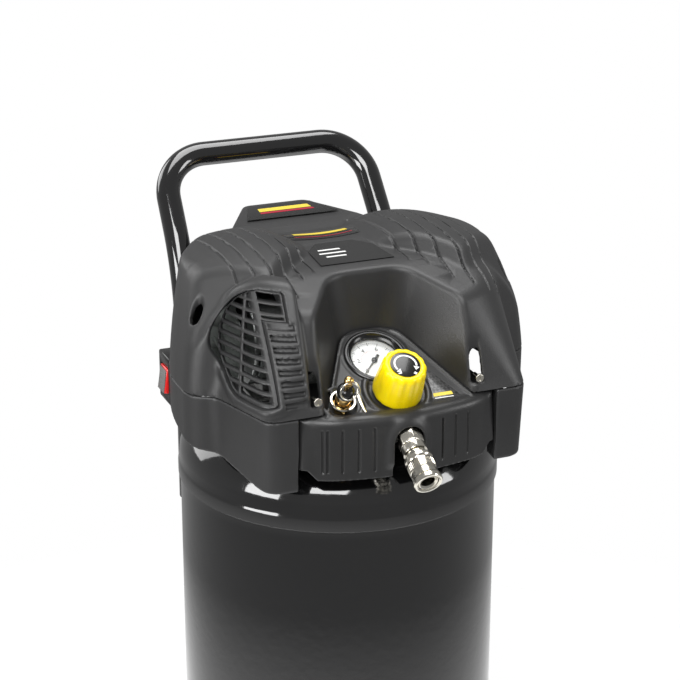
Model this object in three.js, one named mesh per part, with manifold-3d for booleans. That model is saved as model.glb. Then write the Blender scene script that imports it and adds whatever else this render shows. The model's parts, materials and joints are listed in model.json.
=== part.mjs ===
// Vertical air compressor: a standing tank on two wheels and a foot, a bent tube handle, and an
// oil-free pump, motor and control console under a moulded cover. Millimetres, +Z up, front at -Y,
// origin on the floor under the middle of the machine.
import * as THREE from 'three';
import { mergeVertices } from 'three/addons/utils/BufferGeometryUtils.js';
import Module from 'manifold-3d';

const wasm = await Module();
wasm.setup();

// ---- driving dimensions ----
const gap = 0.3; // clearance between pieces that touch
const round = { tank: 32, wide: 20, middle: 16 }; // sides on the round pieces
const tank = { radius: 140, wall: 2.5, low: 125, high: 540, dish: 60, band: 13, bandLift: 2, skirt: 20 };
const headDeck = tank.high - tank.skirt; // height of the lower edge of the upper weld band
const handle = { tube: 11, spread: 101, legY: 115.4, legLow: -62, bend: 148, topX: 97.3, topY: 193,
  topZ: 242.7 };
const handleFillet = { bend: 60, corner: 40, steps: 22, sides: 10 };
const wheel = { radius: 75, width: 24, inner: 131, y: 115, hub: 50, axle: 7 };
const foot = { y: -92, halfWidth: 62, depth: 34, plate: 4, pad: 14 };
const cover = { low: 110, roof: 204, wall: 3, frontLean: 0.0021, sideLean: 0.00165, rearLean: 0.0003 };
const shroud = { low: 43, high: cover.low - gap, frontGap: 89 };
const recess = { radius: 69, y: -132 }; // the upright hollow above the console
const hump = { low: 180, high: 220, inner: 40, outer: 130, front: -38, back: 92 };
const humpSpine = [[-60, 150], [-60, 219], [10, 220], [50, 214], [84, 204], [110, 192], [110, 150]]; // (y, z)
const consoleTilt = 30; // degrees between the console and the floor
const plane = 164; // height of the console's face in its own tilted frame
const dial = { x: -3, y: -12, radius: 25, seat: 30, low: 141.5, floor: 157.5 };
const knob = { x: 2, y: -50.5, low: 21, top: 18, height: 32, base: 167, lobes: 16, body: 11.2 };
const relief = { x: -48, y: -54.7, radius: 7 };
const coupler = { axis: 154.5, root: -84.3, tip: -139.2, radius: 12.3, bore: 6 };
const manifoldBlock = { x0: -58, x1: 22, y0: -65, y1: -39.5, low: 136, high: 158.5, nose: 13 };
const motor = { y: 5, z: 140, radius: 49, left: -86, right: -34, shaft: 6, bearing: 12 };
const crank = { x: -8, left: -23, right: 7, wall: 5, throw: 9 };
const cylinder = { radius: 30, bore: 26, front: 58, back: 104, head: 24 };
const coverScrew = { x: 72, y: -136, z: 123 };
const fan = { x0: -120, x1: -102, radius: 48, hub: 14, blades: 7 };
const base = { low: 84, high: 87, x0: -88, x1: 26, y0: -34, y1: 44 };
const checkValve = { x: 44, y: 70 };
const capacitor = { x: 78, y: 12, radius: 17, low: 84, high: 150 };
const switchBox = { x0: -152, x1: -124, y0: 7, y1: 37, low: 76, high: 119 };
const rocker = { low: 84.9, high: 107.9, half: 9, proud: 3.2, clear: 0.8, deep: 11 };
const grille = { low: 118, high: 190, halfWidth: 37, pitch: 7.6, slot: 4.4 };

// ---- finishes ----
const finish = (colour, roughness, metalness = 0) =>
  new THREE.MeshStandardMaterial({ color: colour, roughness, metalness });
const finishes = {
  tankPaint: () => finish(0x060606, 0.12),
  coverPlastic: () => finish(0x262626, 0.55),
  darkPlastic: () => finish(0x141414, 0.4),
  yellowPlastic: () => finish(0xffd800, 0.35),
  redPlastic: () => finish(0xc81414, 0.3),
  clearPlastic: () => finish(0xd8d8d2, 0.1),
  whiteDial: () => finish(0xf2f2f0, 0.5),
  brass: () => finish(0xb58a3c, 0.3, 1),
  nickel: () => finish(0xc4c2b8, 0.22, 1),
  steel: () => finish(0x9a9a98, 0.4, 1),
  aluminium: () => finish(0xa8aaa8, 0.45, 1),
  laminate: () => finish(0x54585c, 0.5, 0.8),
  copper: () => finish(0xb06a3a, 0.35, 1),
  rubber: () => finish(0x101010, 0.9),
  tyre: () => finish(0x0c0c0c, 0.95),
};

// ---- shape helpers ----
// Welds shared points, drops faces of no area and turns the shell so that its faces point out.
function welded(geometry) {
  const bare = new THREE.BufferGeometry();
  bare.setAttribute('position', geometry.attributes.position.clone());
  if (geometry.index) bare.setIndex(geometry.index.clone());
  const merged = mergeVertices(bare, 1e-3);
  const point = (i) => new THREE.Vector3().fromBufferAttribute(merged.attributes.position, i);
  const kept = [];
  let volume = 0;
  for (let i = 0; i < merged.index.count; i += 3) {
    const [a, b, c] = [0, 1, 2].map((k) => merged.index.getX(i + k));
    if (a === b || b === c || c === a) continue;
    kept.push([a, b, c]);
    volume += point(a).dot(point(b).cross(point(c)));
  }
  merged.setIndex(kept.flatMap(([a, b, c]) => (volume < 0 ? [a, c, b] : [a, b, c])));
  return merged;
}

function solid(geometry) {
  const shell = welded(geometry);
  return new wasm.Manifold(new wasm.Mesh({
    numProp: 3,
    vertProperties: new Float32Array(shell.attributes.position.array),
    triVerts: new Uint32Array(shell.index.array),
  }));
}

function geometryOf(body) {
  const mesh = body.getMesh();
  const geometry = new THREE.BufferGeometry();
  geometry.setAttribute('position', new THREE.BufferAttribute(mesh.vertProperties, 3));
  geometry.setIndex(new THREE.BufferAttribute(mesh.triVerts, 1));
  return geometry;
}

const joined = (geometries) => geometries.map(solid).reduce((sum, next) => sum.add(next));
const bulk = (body) => body.decompose().sort((a, b) => b.volume() - a.volume())[0]; // without loose slivers
const cut = (geometry, ...tools) => geometryOf(solid(geometry).subtract(joined(tools)));
const cutClean = (geometry, ...tools) => geometryOf(bulk(solid(geometry).subtract(joined(tools))));
const union = (...geometries) => geometryOf(joined(geometries));
const common = (a, b) => geometryOf(solid(a).intersect(solid(b)));

function block(x0, x1, y0, y1, z0, z1) {
  return new THREE.BoxGeometry(x1 - x0, y1 - y0, z1 - z0).translate((x0 + x1) / 2, (y0 + y1) / 2,
    (z0 + z1) / 2);
}

// A round bar from one point to another.
function bar(from, to, radius, sides = 16, endRadius = radius) {
  const [a, b] = [new THREE.Vector3(...from), new THREE.Vector3(...to)];
  const along = b.clone().sub(a);
  const turn = new THREE.Quaternion().setFromUnitVectors(new THREE.Vector3(0, 1, 0),
    along.clone().normalize());
  return new THREE.CylinderGeometry(endRadius, radius, along.length(), sides)
    .applyQuaternion(turn)
    .translate(...a.add(b).multiplyScalar(0.5).toArray());
}

// A turned piece about the upright axis; the profile is a list of [radius, height].
function turned(profile, sides = round.wide) {
  return new THREE.LatheGeometry(profile.map(([r, z]) => new THREE.Vector2(r, z)),
    sides).rotateX(Math.PI / 2);
}

// A washer or sleeve: outer and inner radius between two heights.
function ring(outer, inner, low, high, sides = round.wide) {
  return turned([[inner, low], [outer, low], [outer, high], [inner, high], [inner, low]], sides);
}

const outline = (points) => new THREE.Shape(points.map(([x, y]) => new THREE.Vector2(x, y)));

function plan(points, low, high, steps = 1) {
  return new THREE.ExtrudeGeometry(outline(points), { depth: high - low, bevelEnabled: false, steps })
    .translate(0, 0, low);
}

// An outline in (y, z), as deep as from x0 to x1.
function sideOn(points, x0, x1) {
  const axes = new THREE.Matrix4().set(0, 0, 1, 0, 1, 0, 0, 0, 0, 1, 0, 0, 0, 0, 0, 1);
  return new THREE.ExtrudeGeometry(outline(points), { depth: x1 - x0, bevelEnabled: false })
    .applyMatrix4(axes)
    .translate(x0, 0, 0);
}

// An outline in (x, z), as deep as from y0 to y1.
function frontOn(points, y0, y1) {
  return new THREE.ExtrudeGeometry(outline(points), { depth: y1 - y0, bevelEnabled: false })
    .rotateX(Math.PI / 2)
    .translate(0, y1, 0);
}

const mirrored = (points) => [...points, ...points.map(([x, y]) => [-x, y]).reverse()];

// A tube along a path of straight runs with rounded corners.
function bentTube(points, fillets, radius, steps, sides) {
  const route = new THREE.CurvePath();
  let from = points[0];
  points.slice(1, -1).forEach((corner, i) => {
    const before = corner.clone().sub(points[i]).normalize();
    const after = points[i + 2].clone().sub(corner).normalize();
    const back = fillets[i] * Math.tan(before.angleTo(after) / 2);
    const start = corner.clone().addScaledVector(before, -back);
    const end = corner.clone().addScaledVector(after, back);
    route.add(new THREE.LineCurve3(from, start));
    route.add(new THREE.QuadraticBezierCurve3(start, corner, end));
    from = end;
  });
  route.add(new THREE.LineCurve3(from, points[points.length - 1]));
  const section = new THREE.Shape(new THREE.EllipseCurve(0, 0, radius, radius, 0,
    2 * Math.PI).getPoints(sides)
    .slice(0, sides));
  return new THREE.ExtrudeGeometry(section, { extrudePath: route, steps, bevelEnabled: false });
}

// ---- assembly groups ----
const compressor = new THREE.Group();
const deck = new THREE.Group(); // everything measured from the upper weld band
deck.position.z = headDeck;
compressor.add(deck);
const consoleFrame = new THREE.Group(); // the tilted console: y climbs the slope, z leaves its face
consoleFrame.rotation.x = THREE.MathUtils.degToRad(consoleTilt);
deck.add(consoleFrame);

function piece(parent, name, geometry, finishName, x = 0, y = 0, z = 0) {
  const mesh = new THREE.Mesh(welded(geometry), finishes[finishName]());
  mesh.name = name;
  mesh.position.set(x, y, z);
  parent.add(mesh);
}

// ---- tank ----
function dishPoints(radius, height, base, count = 5) {
  return Array.from({ length: count }, (_, i) => {
    const angle = (Math.PI / 2) * (i / (count - 1));
    return [radius * Math.cos(angle), base + height * Math.sin(angle)];
  });
}

// Heights are from the band's lower edge; the outer skin runs up, the inner one comes back down.
function headProfile() {
  const inside = tank.radius - tank.wall;
  const seat = tank.radius + gap;
  const outer = [[seat, 0], [tank.radius + tank.bandLift, 0], [tank.radius + tank.bandLift, tank.band - 1],
    [tank.radius + 0.6, tank.band + 2], ...dishPoints(tank.radius + 0.6, tank.dish, tank.skirt)];
  const inner = dishPoints(inside, tank.dish - tank.wall, tank.skirt).reverse();
  return [...outer, ...inner, [inside, tank.band + gap], [seat, tank.band + gap], [seat, 0]];
}

// The room that a tank head needs, a little larger than the head, opening downwards from its skirt.
const headRoom = (clear) => turned([[0, -40], [tank.radius + tank.bandLift + clear, -40],
  [tank.radius + tank.bandLift + clear, tank.skirt],
  ...dishPoints(tank.radius + 0.6 + clear, tank.dish + clear, tank.skirt)], round.tank);

function makeTank() {
  piece(compressor, 'tank_shell', ring(tank.radius, tank.radius - tank.wall,
    tank.low + tank.skirt - tank.band,
    headDeck + tank.band, round.tank), 'tankPaint');
  const head = turned(headProfile(), round.tank);
  piece(deck, 'top_head', head, 'tankPaint');
  piece(compressor, 'bottom_head', head.clone().rotateX(Math.PI), 'tankPaint', 0, 0, tank.low + tank.skirt);
}

function makeDrain() {
  const bottom = tank.low - tank.dish;
  piece(compressor, 'drain_valve_body', union(bar([0, 0, bottom - 24], [0, 0, bottom - 10], 11, 6),
    bar([0, 0, bottom - 11], [0, 0, bottom - gap], 9, 20), bar([0, -18, bottom - 18], [0, 0, bottom - 18],
      4, 12)),
  'brass');
  const grip = Array.from({ length: 24 }, (_, i) => {
    const angle = (i / 24) * 2 * Math.PI;
    const radius = i % 2 ? 12 : 10.6;
    return [radius * Math.cos(angle), radius * Math.sin(angle)];
  });
  piece(compressor, 'drain_valve_knob', plan(grip, bottom - 36, bottom - 24 - gap), 'brass');
}

// ---- handle, wheels and foot ----
function makeHandle() {
  const leg = (side) => [new THREE.Vector3(side * handle.spread, handle.legY, handle.legLow),
    new THREE.Vector3(side * handle.spread, handle.legY, handle.bend),
    new THREE.Vector3(side * handle.topX, handle.topY, handle.topZ)];
  const route = [...leg(-1), ...leg(1).reverse()];
  const fillets = [handleFillet.bend, handleFillet.corner, handleFillet.corner, handleFillet.bend];
  piece(deck, 'handle_tube', bentTube(route, fillets, handle.tube, 2 * handleFillet.steps,
    handleFillet.sides),
    'tankPaint');
  for (const [name, side] of [['handle_bracket_left', -1], ['handle_bracket_right', 1]]) {
    const away = Math.atan2(handle.legY, handle.spread);
    const reach = Math.hypot(handle.legY, handle.spread);
    const saddle = cut(block(-handle.tube - 3, -2, -handle.tube, handle.tube, -16, 16),
      bar([0, 0, -30], [0, 0, 30], handle.tube + gap, round.middle));
    const shaped = cut(saddle.translate(reach, 0, 0), bar([0, 0, -40], [0, 0, 40], tank.radius + 1,
      round.tank));
    shaped.rotateZ(away);
    if (side < 0) shaped.scale(-1, 1, 1);
    piece(deck, name, shaped, 'tankPaint', 0, 0, handle.legLow + 20);
  }
}

function makeWheels() {
  const outer = wheel.inner + wheel.width;
  const half = wheel.width / 2;
  const tread = turned([[wheel.hub + gap, -half], [wheel.radius - 5, -half], [wheel.radius, -half + 6],
    [wheel.radius, half - 6], [wheel.radius - 5, half], [wheel.hub + gap, half], [wheel.hub + gap, -half]],
      round.wide);
  const hub = cut(turned([[wheel.axle + gap, -half], [18, -half], [20, -3], [wheel.hub - 6, -3],
    [wheel.hub - 4, -half], [wheel.hub, -half], [wheel.hub, half], [wheel.hub - 4, half], [wheel.hub - 6, 3],
    [20, 3], [18, half], [wheel.axle + gap, half], [wheel.axle + gap, -half]], round.wide),
  ...Array.from({ length: 6 }, (_, i) => bar([0, 0, -5], [0, 0, 5], 7, 8).translate(32, 0, 0)
    .rotateZ((i * Math.PI) / 3)));
  for (const [side, sign] of [['left', -1], ['right', 1]]) {
    const placed = (geometry) => geometry.clone().rotateY(sign * Math.PI / 2);
    const x = sign * (wheel.inner + half);
    piece(compressor, `wheel_tyre_${side}`, placed(tread), 'tyre', x, wheel.y, wheel.radius);
    piece(compressor, `wheel_hub_${side}`, placed(hub), 'coverPlastic', x, wheel.y, wheel.radius);
    const x0 = sign * (wheel.inner - 8);
    const cheek = cut(sideOn([[wheel.y - 34, 104], [wheel.y - 34, 150], [wheel.y - 50, 150], [wheel.y - 50,
      96],
      [wheel.y - 12, 58], [wheel.y + 14, 62], [wheel.y + 14, 88], [wheel.y, 100]],
    Math.min(x0, x0 - sign * 4), Math.max(x0, x0 - sign * 4)),
    bar([-200, wheel.y, wheel.radius], [200, wheel.y, wheel.radius], wheel.axle + gap, 20),
    bar([0, 0, 0], [0, 0, 200], tank.radius + tank.bandLift + 1, round.tank));
    piece(compressor, `axle_bracket_${side}`, cheek, 'tankPaint');
  }
  piece(compressor, 'axle', bar([-outer, wheel.y, wheel.radius], [outer, wheel.y, wheel.radius], wheel.axle,
    20),
    'steel');
}

function makeFoot() {
  const { y, halfWidth, depth, plate, pad } = foot;
  const [front, back, low] = [y - depth / 2, y + depth / 2, pad + gap];
  const bent = union(block(-halfWidth, halfWidth, front, back, low, low + plate),
    block(-halfWidth, halfWidth, front, front + plate, low, 120),
    ...[-halfWidth, halfWidth - plate].map((x) => sideOn([[front, low], [back, low], [back, low + 12],
      [front + 12, 120], [front, 120]], x, x + plate)));
  const clear = headRoom(gap).rotateX(Math.PI).translate(0, 0, tank.low + tank.skirt);
  piece(compressor, 'front_foot_bracket', cut(bent, clear), 'tankPaint');
  piece(compressor, 'foot_pad', sideOn([[front + 1, 0], [back - 1, 0], [back + 1, 4], [back + 1, pad],
    [front - 1, pad], [front - 1, 4]], -halfWidth, halfWidth), 'rubber');
}

// ---- covers ----
const frontCorner = [[68, -138], [89, -138], [104, -137], [112, -134], [118, -127], [128.5, -98], [136, -66]];
const sidePoints = [[144, -61], [152, -52], [155, -39], [156, -27], [156, 0]];
const rearPoints = [[140, 42], [112, 80], [66, 104], [34, 164]];
const coverOutline = [...frontCorner, ...sidePoints, ...rearPoints];

// Leans the walls of an upright extrusion in towards the middle as they climb from a height.
function leaned(geometry, from, sideLean, frontLean, rearLean) {
  const spot = geometry.attributes.position;
  for (let i = 0; i < spot.count; i += 1) {
    const climb = spot.getZ(i) - from;
    const lean = spot.getY(i) < 0 ? frontLean : rearLean;
    spot.setX(i, spot.getX(i) * (1 - sideLean * climb));
    spot.setY(i, spot.getY(i) * (1 - lean * climb));
  }
  return geometry;
}

const leanedCover = (geometry) => leaned(geometry, cover.low, cover.sideLean, cover.frontLean,
  cover.rearLean);

// The cover's outside, or its inside when it is drawn in by the wall.
function coverForm(inset) {
  const shrink = 1 - inset / 140;
  const low = cover.low - (inset ? 5 : 0);
  const roof = sideOn([[-170, low], [170, low], [170, 160 - inset], [100, 196 - inset], [60,
    cover.roof - inset],
    [-60, cover.roof - inset], [-113, 186 - inset], [-124, 168 - inset], [-170, 150 - inset]], -170, 170);
  const walls = leanedCover(plan(mirrored(coverOutline).map(([x, y]) => [x * shrink, y * shrink]), low, 225));
  const side = (sign) => {
    const bump = [[hump.inner + inset, hump.low], [hump.inner + inset, cover.roof], [50, 218 - inset],
      [64, hump.high - inset], [84, 218 - inset], [108, 211 - inset], [125, 203 - inset],
      [hump.outer - inset, 196 - inset], [136 - inset, hump.low]];
    const spine = sideOn(humpSpine.map(([y, z]) => [y, z - inset]), -170, 170);
    return common(frontOn(bump.map(([x, z]) => [sign * x, z]), hump.front + inset, hump.back - inset), spine);
  };
  const rearBlock = leaned(plan([[-72 + inset, 60], [72 - inset, 60], [72 - inset, 96 - inset / 2],
    [35 - inset, 164 - inset], [-35 + inset, 164 - inset], [-72 + inset, 96 - inset / 2]], 150, 201 - inset),
  150, 0.0015, 0, 0.0002);
  const base = common(walls, roof);
  return union(base, common(side(1), walls), common(side(-1), walls), rearBlock);
}

const recessTool = (grow) => bar([0, recess.y, cover.low - 20], [0, recess.y, cover.low + 110],
  recess.radius + grow,
  round.wide);

// Everything in front of and under the console's face, between the two ridges.
const consoleTool = (halfWidth, lift) => common(block(-halfWidth, halfWidth, -160, 26, 60, plane + lift)
  .rotateX(THREE.MathUtils.degToRad(consoleTilt)), block(-100, 100, -200, -59, 0, 300));

// The arched window at the left front corner, square to the corner's face.
const grilleFacing = Math.atan2(-0.6, -0.8);
function archTool(inset) {
  const width = grille.halfWidth - inset;
  const arch = new THREE.Shape();
  arch.moveTo(-width, 150);
  arch.lineTo(-width * 0.55, grille.low + inset);
  arch.lineTo(width, grille.low + inset);
  arch.lineTo(width, grille.high - 26);
  arch.quadraticCurveTo(width * 0.7, grille.high - inset, 0, grille.high - inset);
  arch.quadraticCurveTo(-width * 0.8, grille.high - inset, -width, 150);
  return new THREE.ExtrudeGeometry(arch, { depth: 57, bevelEnabled: false, curveSegments: 5 })
    .rotateX(Math.PI / 2)
    .translate(0, 175, 0)
    .rotateZ(grilleFacing - Math.PI / 2);
}

function makeUpperCover() {
  const outer = coverForm(0);
  const inner = cut(coverForm(cover.wall), recessTool(cover.wall), consoleTool(68 + cover.wall, cover.wall));
  const shell = cutClean(outer, recessTool(0), consoleTool(68, gap), inner, archTool(0),
    block(-170, switchBox.x1 - 2, switchBox.y0 - 1, switchBox.y1 + 1, 60, switchBox.high + 1),
    ...[-1, 1].map((side) => bar([side * coverScrew.x, -150, coverScrew.z], [side * coverScrew.x, -120,
      coverScrew.z],
      2.1, 10)));
  piece(deck, 'upper_cover', shell, 'coverPlastic');
  const skin = common(cut(outer, inner), archTool(gap));
  const slots = [];
  for (let z = grille.low + 6; z < grille.high - 6; z += grille.pitch) {
    const slotAt = (s0, s1) => block(s0, s1, 60, 190, z, z + grille.slot).rotateZ(grilleFacing - Math.PI / 2);
    slots.push(slotAt(-33, -6), slotAt(-2.5, 12));
  }
  piece(deck, 'side_grille', cutClean(skin, common(union(...slots), archTool(4))), 'coverPlastic');
}

function makeShroud() {
  const walls = (inset) => {
    const shrink = 1 - inset / 140;
    const low = shroud.low - (inset ? 5 : 0);
    const high = shroud.high + (inset ? 5 : 0);
    return leaned(plan(mirrored(coverOutline).map(([x, y]) => [x * shrink, y * shrink]), low, high),
      cover.low, -0.0005, -0.0019, 0);
  };
  const arch = (sign) => bar([sign * 100, 50, -20], [sign * 180, 50, -20], 77, round.wide);
  const shell = cutClean(walls(0), walls(cover.wall), arch(1), arch(-1),
    block(-shroud.frontGap, shroud.frontGap, -170, -60, 30, 120), block(-52, 52, 90, 170, 30, 74),
      headRoom(2),
    block(-170, switchBox.x1 - 2, switchBox.y0 - 1, switchBox.y1 + 1, switchBox.low - 1, 125));
  piece(deck, 'lower_shroud', shell, 'coverPlastic');
}

function consoleForm(inset) {
  const back = -64;
  const front = [[88 - inset, back], [88 - inset, -133 + inset], [67 - inset, -143.5 + inset],
    [25, -154.7 + inset], [0, -156.5 + inset]];
  const low = 52 - (inset ? 5 : 0);
  const body = leaned(plan([...front, ...front.slice(0, -1).reverse().map(([x, y]) => [-x, y])], low, 150),
    52, 0, 0.0007, 0);
  const under = block(-100, 100, -200, 60, 0, plane - inset).rotateX(THREE.MathUtils.degToRad(consoleTilt));
  const middle = common(body, under);
  const wings = block(-100, 100, -170, 0, 40, shroud.high - inset);
  const core = block(-68 + gap + inset, 68 - gap - inset, -170, 0, 40, 170);
  return common(middle, union(wings, core));
}

const tilted = (geometry) => geometry.rotateX(THREE.MathUtils.degToRad(consoleTilt));

function makeConsole() {
  const openings = [
    tilted(bar([dial.x, dial.y, 100], [dial.x, dial.y, 200], dial.radius + gap, round.wide)),
    tilted(bar([knob.x, knob.y, 100], [knob.x, knob.y, 200], knob.body + 1, round.wide)),
    tilted(bar([dial.x, dial.y, plane + 0.8], [dial.x, dial.y, 200], dial.radius + 2.3 + gap, round.wide)),
    tilted(bar([relief.x, relief.y, 100], [relief.x, relief.y, 200], 12, round.middle)),
    tilted(block(-17, 17, -200, -70, coupler.axis - 17, coupler.axis + 20)),
    block(-17, 17, -170, -100, 40, 78)];
  const backCut = block(-70, 70, -66, -50, 40, 138);
  const form = union(consoleForm(0),
    tilted(ring(dial.seat, dial.radius - 2, plane - 1, plane + 0.8).translate(dial.x, dial.y, 0)),
    tilted(turned([[12, plane - 1], [29, plane - 1], [29, plane + 1.5], [25, plane + 3.2], [23, plane + 1.4],
      [12, plane + 1.2], [12, plane - 1]]).translate(knob.x, knob.y, 0)));
  piece(deck, 'console_panel', cutClean(form, consoleForm(cover.wall), backCut, headRoom(2), ...openings),
    'coverPlastic');
}

function makeCoverScrews() {
  for (const [side, sign] of [['left', -1], ['right', 1]]) {
    const screw = union(bar([0, 0, 0], [0, 0, 2.4], 3.6, 16), bar([0, 0, -9], [0, 0, 0.5], 1.8, 10));
    piece(deck, `cover_screw_${side}`, cut(screw, block(-0.6, 0.6, -2.4, 2.4, 1.4, 4)).rotateX(Math.PI / 2),
      'nickel', sign * coverScrew.x, coverScrew.y, coverScrew.z);
  }
}

// ---- gauge ----
const needleRest = THREE.MathUtils.degToRad(225); // the zero mark, from the dial's own +X
function makeGauge() {
  const { radius, low, floor } = dial;
  const inside = radius - 1.5;
  const lip = plane + 0.8 + gap;
  piece(consoleFrame, 'gauge_case', turned([[0, low], [radius, low], [radius, lip], [radius + 2.3, lip],
    [radius + 2.3, lip + 0.7], [radius + 1, lip + 1.4], [inside, lip + 1.2], [inside, floor], [0, floor]]),
  'darkPlastic', dial.x, dial.y);
  const face = floor + gap;
  piece(consoleFrame, 'gauge_dial', cut(turned([[0, face], [inside - gap, face], [inside - gap, face + 1],
    [0, face + 1]]), bar([0, 0, low], [0, 0, lip], 1.6, 12)), 'whiteDial', dial.x, dial.y);
  const blade = outline([[-7, -1.2], [-2.4, -1.2], [0, -2.6], [2.4, -1.2], [18, -0.3], [18, 0.3], [2.4, 1.2],
    [0, 2.6], [-2.4, 1.2], [-7, 1.2]]);
  const needle = union(new THREE.ExtrudeGeometry(blade, { depth: 0.8, bevelEnabled: false })
    .translate(0, 0, face + 2), bar([0, 0, face], [0, 0, face + 3.2], 1.2, 12));
  piece(consoleFrame, 'gauge_needle', needle.rotateZ(needleRest), 'darkPlastic', dial.x, dial.y);
  const lens = face + 4.6;
  piece(consoleFrame, 'gauge_lens', turned([[0, lens], [inside - gap, lens], [inside - gap, lens + 1.2],
    [0, lens + 1.2]]), 'clearPlastic', dial.x, dial.y);
}

// ---- regulator ----
function makeRegulator() {
  const { x, y, low, top, height, base, lobes, body } = knob;
  piece(consoleFrame, 'regulator_body', union(bar([0, 0, manifoldBlock.high + gap], [0, 0, base - 1], body,
    round.wide),
    cut(bar([0, 0, base - 4], [0, 0, base + 16], 10, round.wide), bar([0, 0, base - 2], [0, 0, base + 20],
      4.5, 16))),
  'aluminium', x, y);
  piece(consoleFrame, 'regulator_screw', union(bar([0, 0, base + 1], [0, 0, base + 24], 4, 16),
    bar([0, 0, base + 16 + gap], [0, 0, base + 20], 8, 6)), 'brass', x, y);
  const rim = [];
  for (let i = 0; i < lobes * 2; i += 1) {
    const angle = (i / (lobes * 2)) * 2 * Math.PI;
    const radius = i % 2 ? 0.96 : 1;
    rim.push([radius * Math.cos(angle), radius * Math.sin(angle)]);
  }
  const skirt = plan(rim, base, base + height, 3);
  const spot = skirt.attributes.position;
  for (let i = 0; i < spot.count; i += 1) {
    const climb = (spot.getZ(i) - base) / height;
    const radius = low + (top - low) * climb;
    spot.setX(i, spot.getX(i) * radius);
    spot.setY(i, spot.getY(i) * radius);
  }
  const hollow = turned([[0, base - 1], [13, base - 1], [13, base + 20 + gap], [8.5, base + 28], [0,
    base + 28]], round.wide);
  piece(consoleFrame, 'regulator_knob', cut(skirt, hollow), 'yellowPlastic', x, y);
  piece(consoleFrame, 'regulator_knob_label', bar([0, 0, base + height + gap], [0, 0, base + height + 1],
    13, round.wide),
    'darkPlastic', x, y);
}

// ---- safety valve ----
function makeSafetyValve() {
  const { x, y, radius } = relief;
  const floor = manifoldBlock.high + gap;
  piece(consoleFrame, 'safety_valve_body', cut(union(bar([0, 0, floor], [0, 0, floor + 6], radius + 1, 6),
    bar([0, 0, floor + 5], [0, 0, 182], radius - 0.4, 20)), bar([0, 0, 168], [0, 0, 200], 2.6, 12)),
      'brass', x, y);
  piece(consoleFrame, 'safety_valve_stem', cut(union(bar([0, 0, 170.5], [0, 0, 192], 2.2, 12),
    new THREE.SphereGeometry(4, 12, 8).translate(0, 0, 194)), bar([-6, 0, 194], [6, 0, 194], 1.8, 10)),
      'brass', x, y);
  const pullRing = new THREE.TorusGeometry(9, 0.6, 6, round.wide).rotateX(Math.PI / 2).translate(0, 0, -9);
  piece(consoleFrame, 'safety_valve_ring', pullRing.rotateX(THREE.MathUtils.degToRad(-consoleTilt)),
    'nickel', x, y, 194);
}

// ---- outlet coupler ----
function makeCoupler() {
  const { root, tip, axis, radius, bore } = coupler;
  const along = (y0, y1, size, sides) => bar([0, y0, 0], [0, y1, 0], size, sides);
  piece(consoleFrame, 'coupler_adapter', along(root, root - 16, 11, 6), 'nickel', 0, 0, axis);
  piece(consoleFrame, 'coupler_body', cut(union(along(root - 16 - gap, tip + 1, 8.6, round.middle),
    along(root - 16 - gap, root - 23, 10.4, round.middle)), along(tip + 22, tip - 2, bore, 20)), 'nickel',
      0, 0, axis);
  const sleeve = union(along(root - 28, tip, 11.2, round.wide), along(tip + 5, tip, radius, round.wide),
    along(root - 28, root - 32, radius - 0.4, round.wide));
  piece(consoleFrame, 'coupler_sleeve', cut(sleeve, along(root - 20, tip - 2, 8.9, round.middle)), 'nickel',
    0, 0, axis);
}

// ---- manifold and pressure switch ----
function makeManifold() {
  const { x0, x1, y0, y1, low, high, nose } = manifoldBlock;
  piece(consoleFrame, 'manifold_block', union(block(x0, x1, y0, y1, low, high),
    block(-nose, nose, coupler.root + gap, y0 + 1, high - 2 * nose + 6, high)), 'aluminium');
}

function makeSwitch() {
  const { x0, x1, y0, y1, low, high } = switchBox;
  const middle = (y0 + y1) / 2;
  const side = rocker.half + 0.6;
  piece(deck, 'pressure_switch_box', cut(block(x0, x1, y0, y1, low, high), block(x0 - 1, x0 + rocker.deep,
    middle - side, middle + side, rocker.low - rocker.clear, rocker.high + 1)), 'darkPlastic');
  const paddle = [[x0 + 5.5, rocker.low], [x0 - rocker.proud, rocker.low + 1],
    [x0 - rocker.proud / 2, (rocker.low + rocker.high) / 2], [x0 - 0.4, rocker.high], [x0 + 5.5,
      rocker.high]];
  piece(deck, 'switch_rocker', frontOn(paddle, middle - rocker.half, middle + rocker.half), 'redPlastic');
  piece(deck, 'switch_cable_gland', turned([[0, low - 14], [6, low - 14], [7, low - 8], [8, low - gap],
    [0, low - gap]], 20), 'rubber', x1 - 3, y1 - 16);
}

// ---- motor and pump ----
const onShaft = (x0, x1, size, sides = round.wide) => bar([x0, motor.y, motor.z], [x1, motor.y, motor.z],
  size, sides);

function makeMotor() {
  const { radius, left, right, shaft, bearing } = motor;
  const bore = radius - 19;
  piece(deck, 'motor_stator', cut(onShaft(left, right, radius), onShaft(left - 1, right + 1, bore)),
    'laminate');
  piece(deck, 'motor_rotor', cut(onShaft(left + 6, right - 6, bore - 0.6), onShaft(left, right, shaft + gap,
    20)),
    'copper');
  piece(deck, 'motor_shaft', onShaft(fan.x0 + 6, crank.x - 3, shaft, 20), 'steel');
  piece(deck, 'motor_end_shield', cut(union(onShaft(left - 6, left - gap, radius), onShaft(left - 12,
    left - 5, 17, round.middle)),
    onShaft(left - 2, left, radius - 8), onShaft(left - 13, left, bearing + gap, round.middle)), 'aluminium');
  for (const [name, x] of [['motor_bearing_rear', left - 11], ['motor_bearing_front', right + 2]]) {
    piece(deck, name, cut(onShaft(x, x + 8, bearing, round.middle), onShaft(x - 1, x + 9, shaft + 0.3, 20)),
      'steel');
  }
  const { x, y, low, high } = capacitor;
  piece(deck, 'start_capacitor', union(bar([x, y, low], [x, y, high], capacitor.radius, round.middle),
    bar([x, y, high - 1], [x, y, high + 4], 6, 12)), 'darkPlastic');
}

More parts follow.
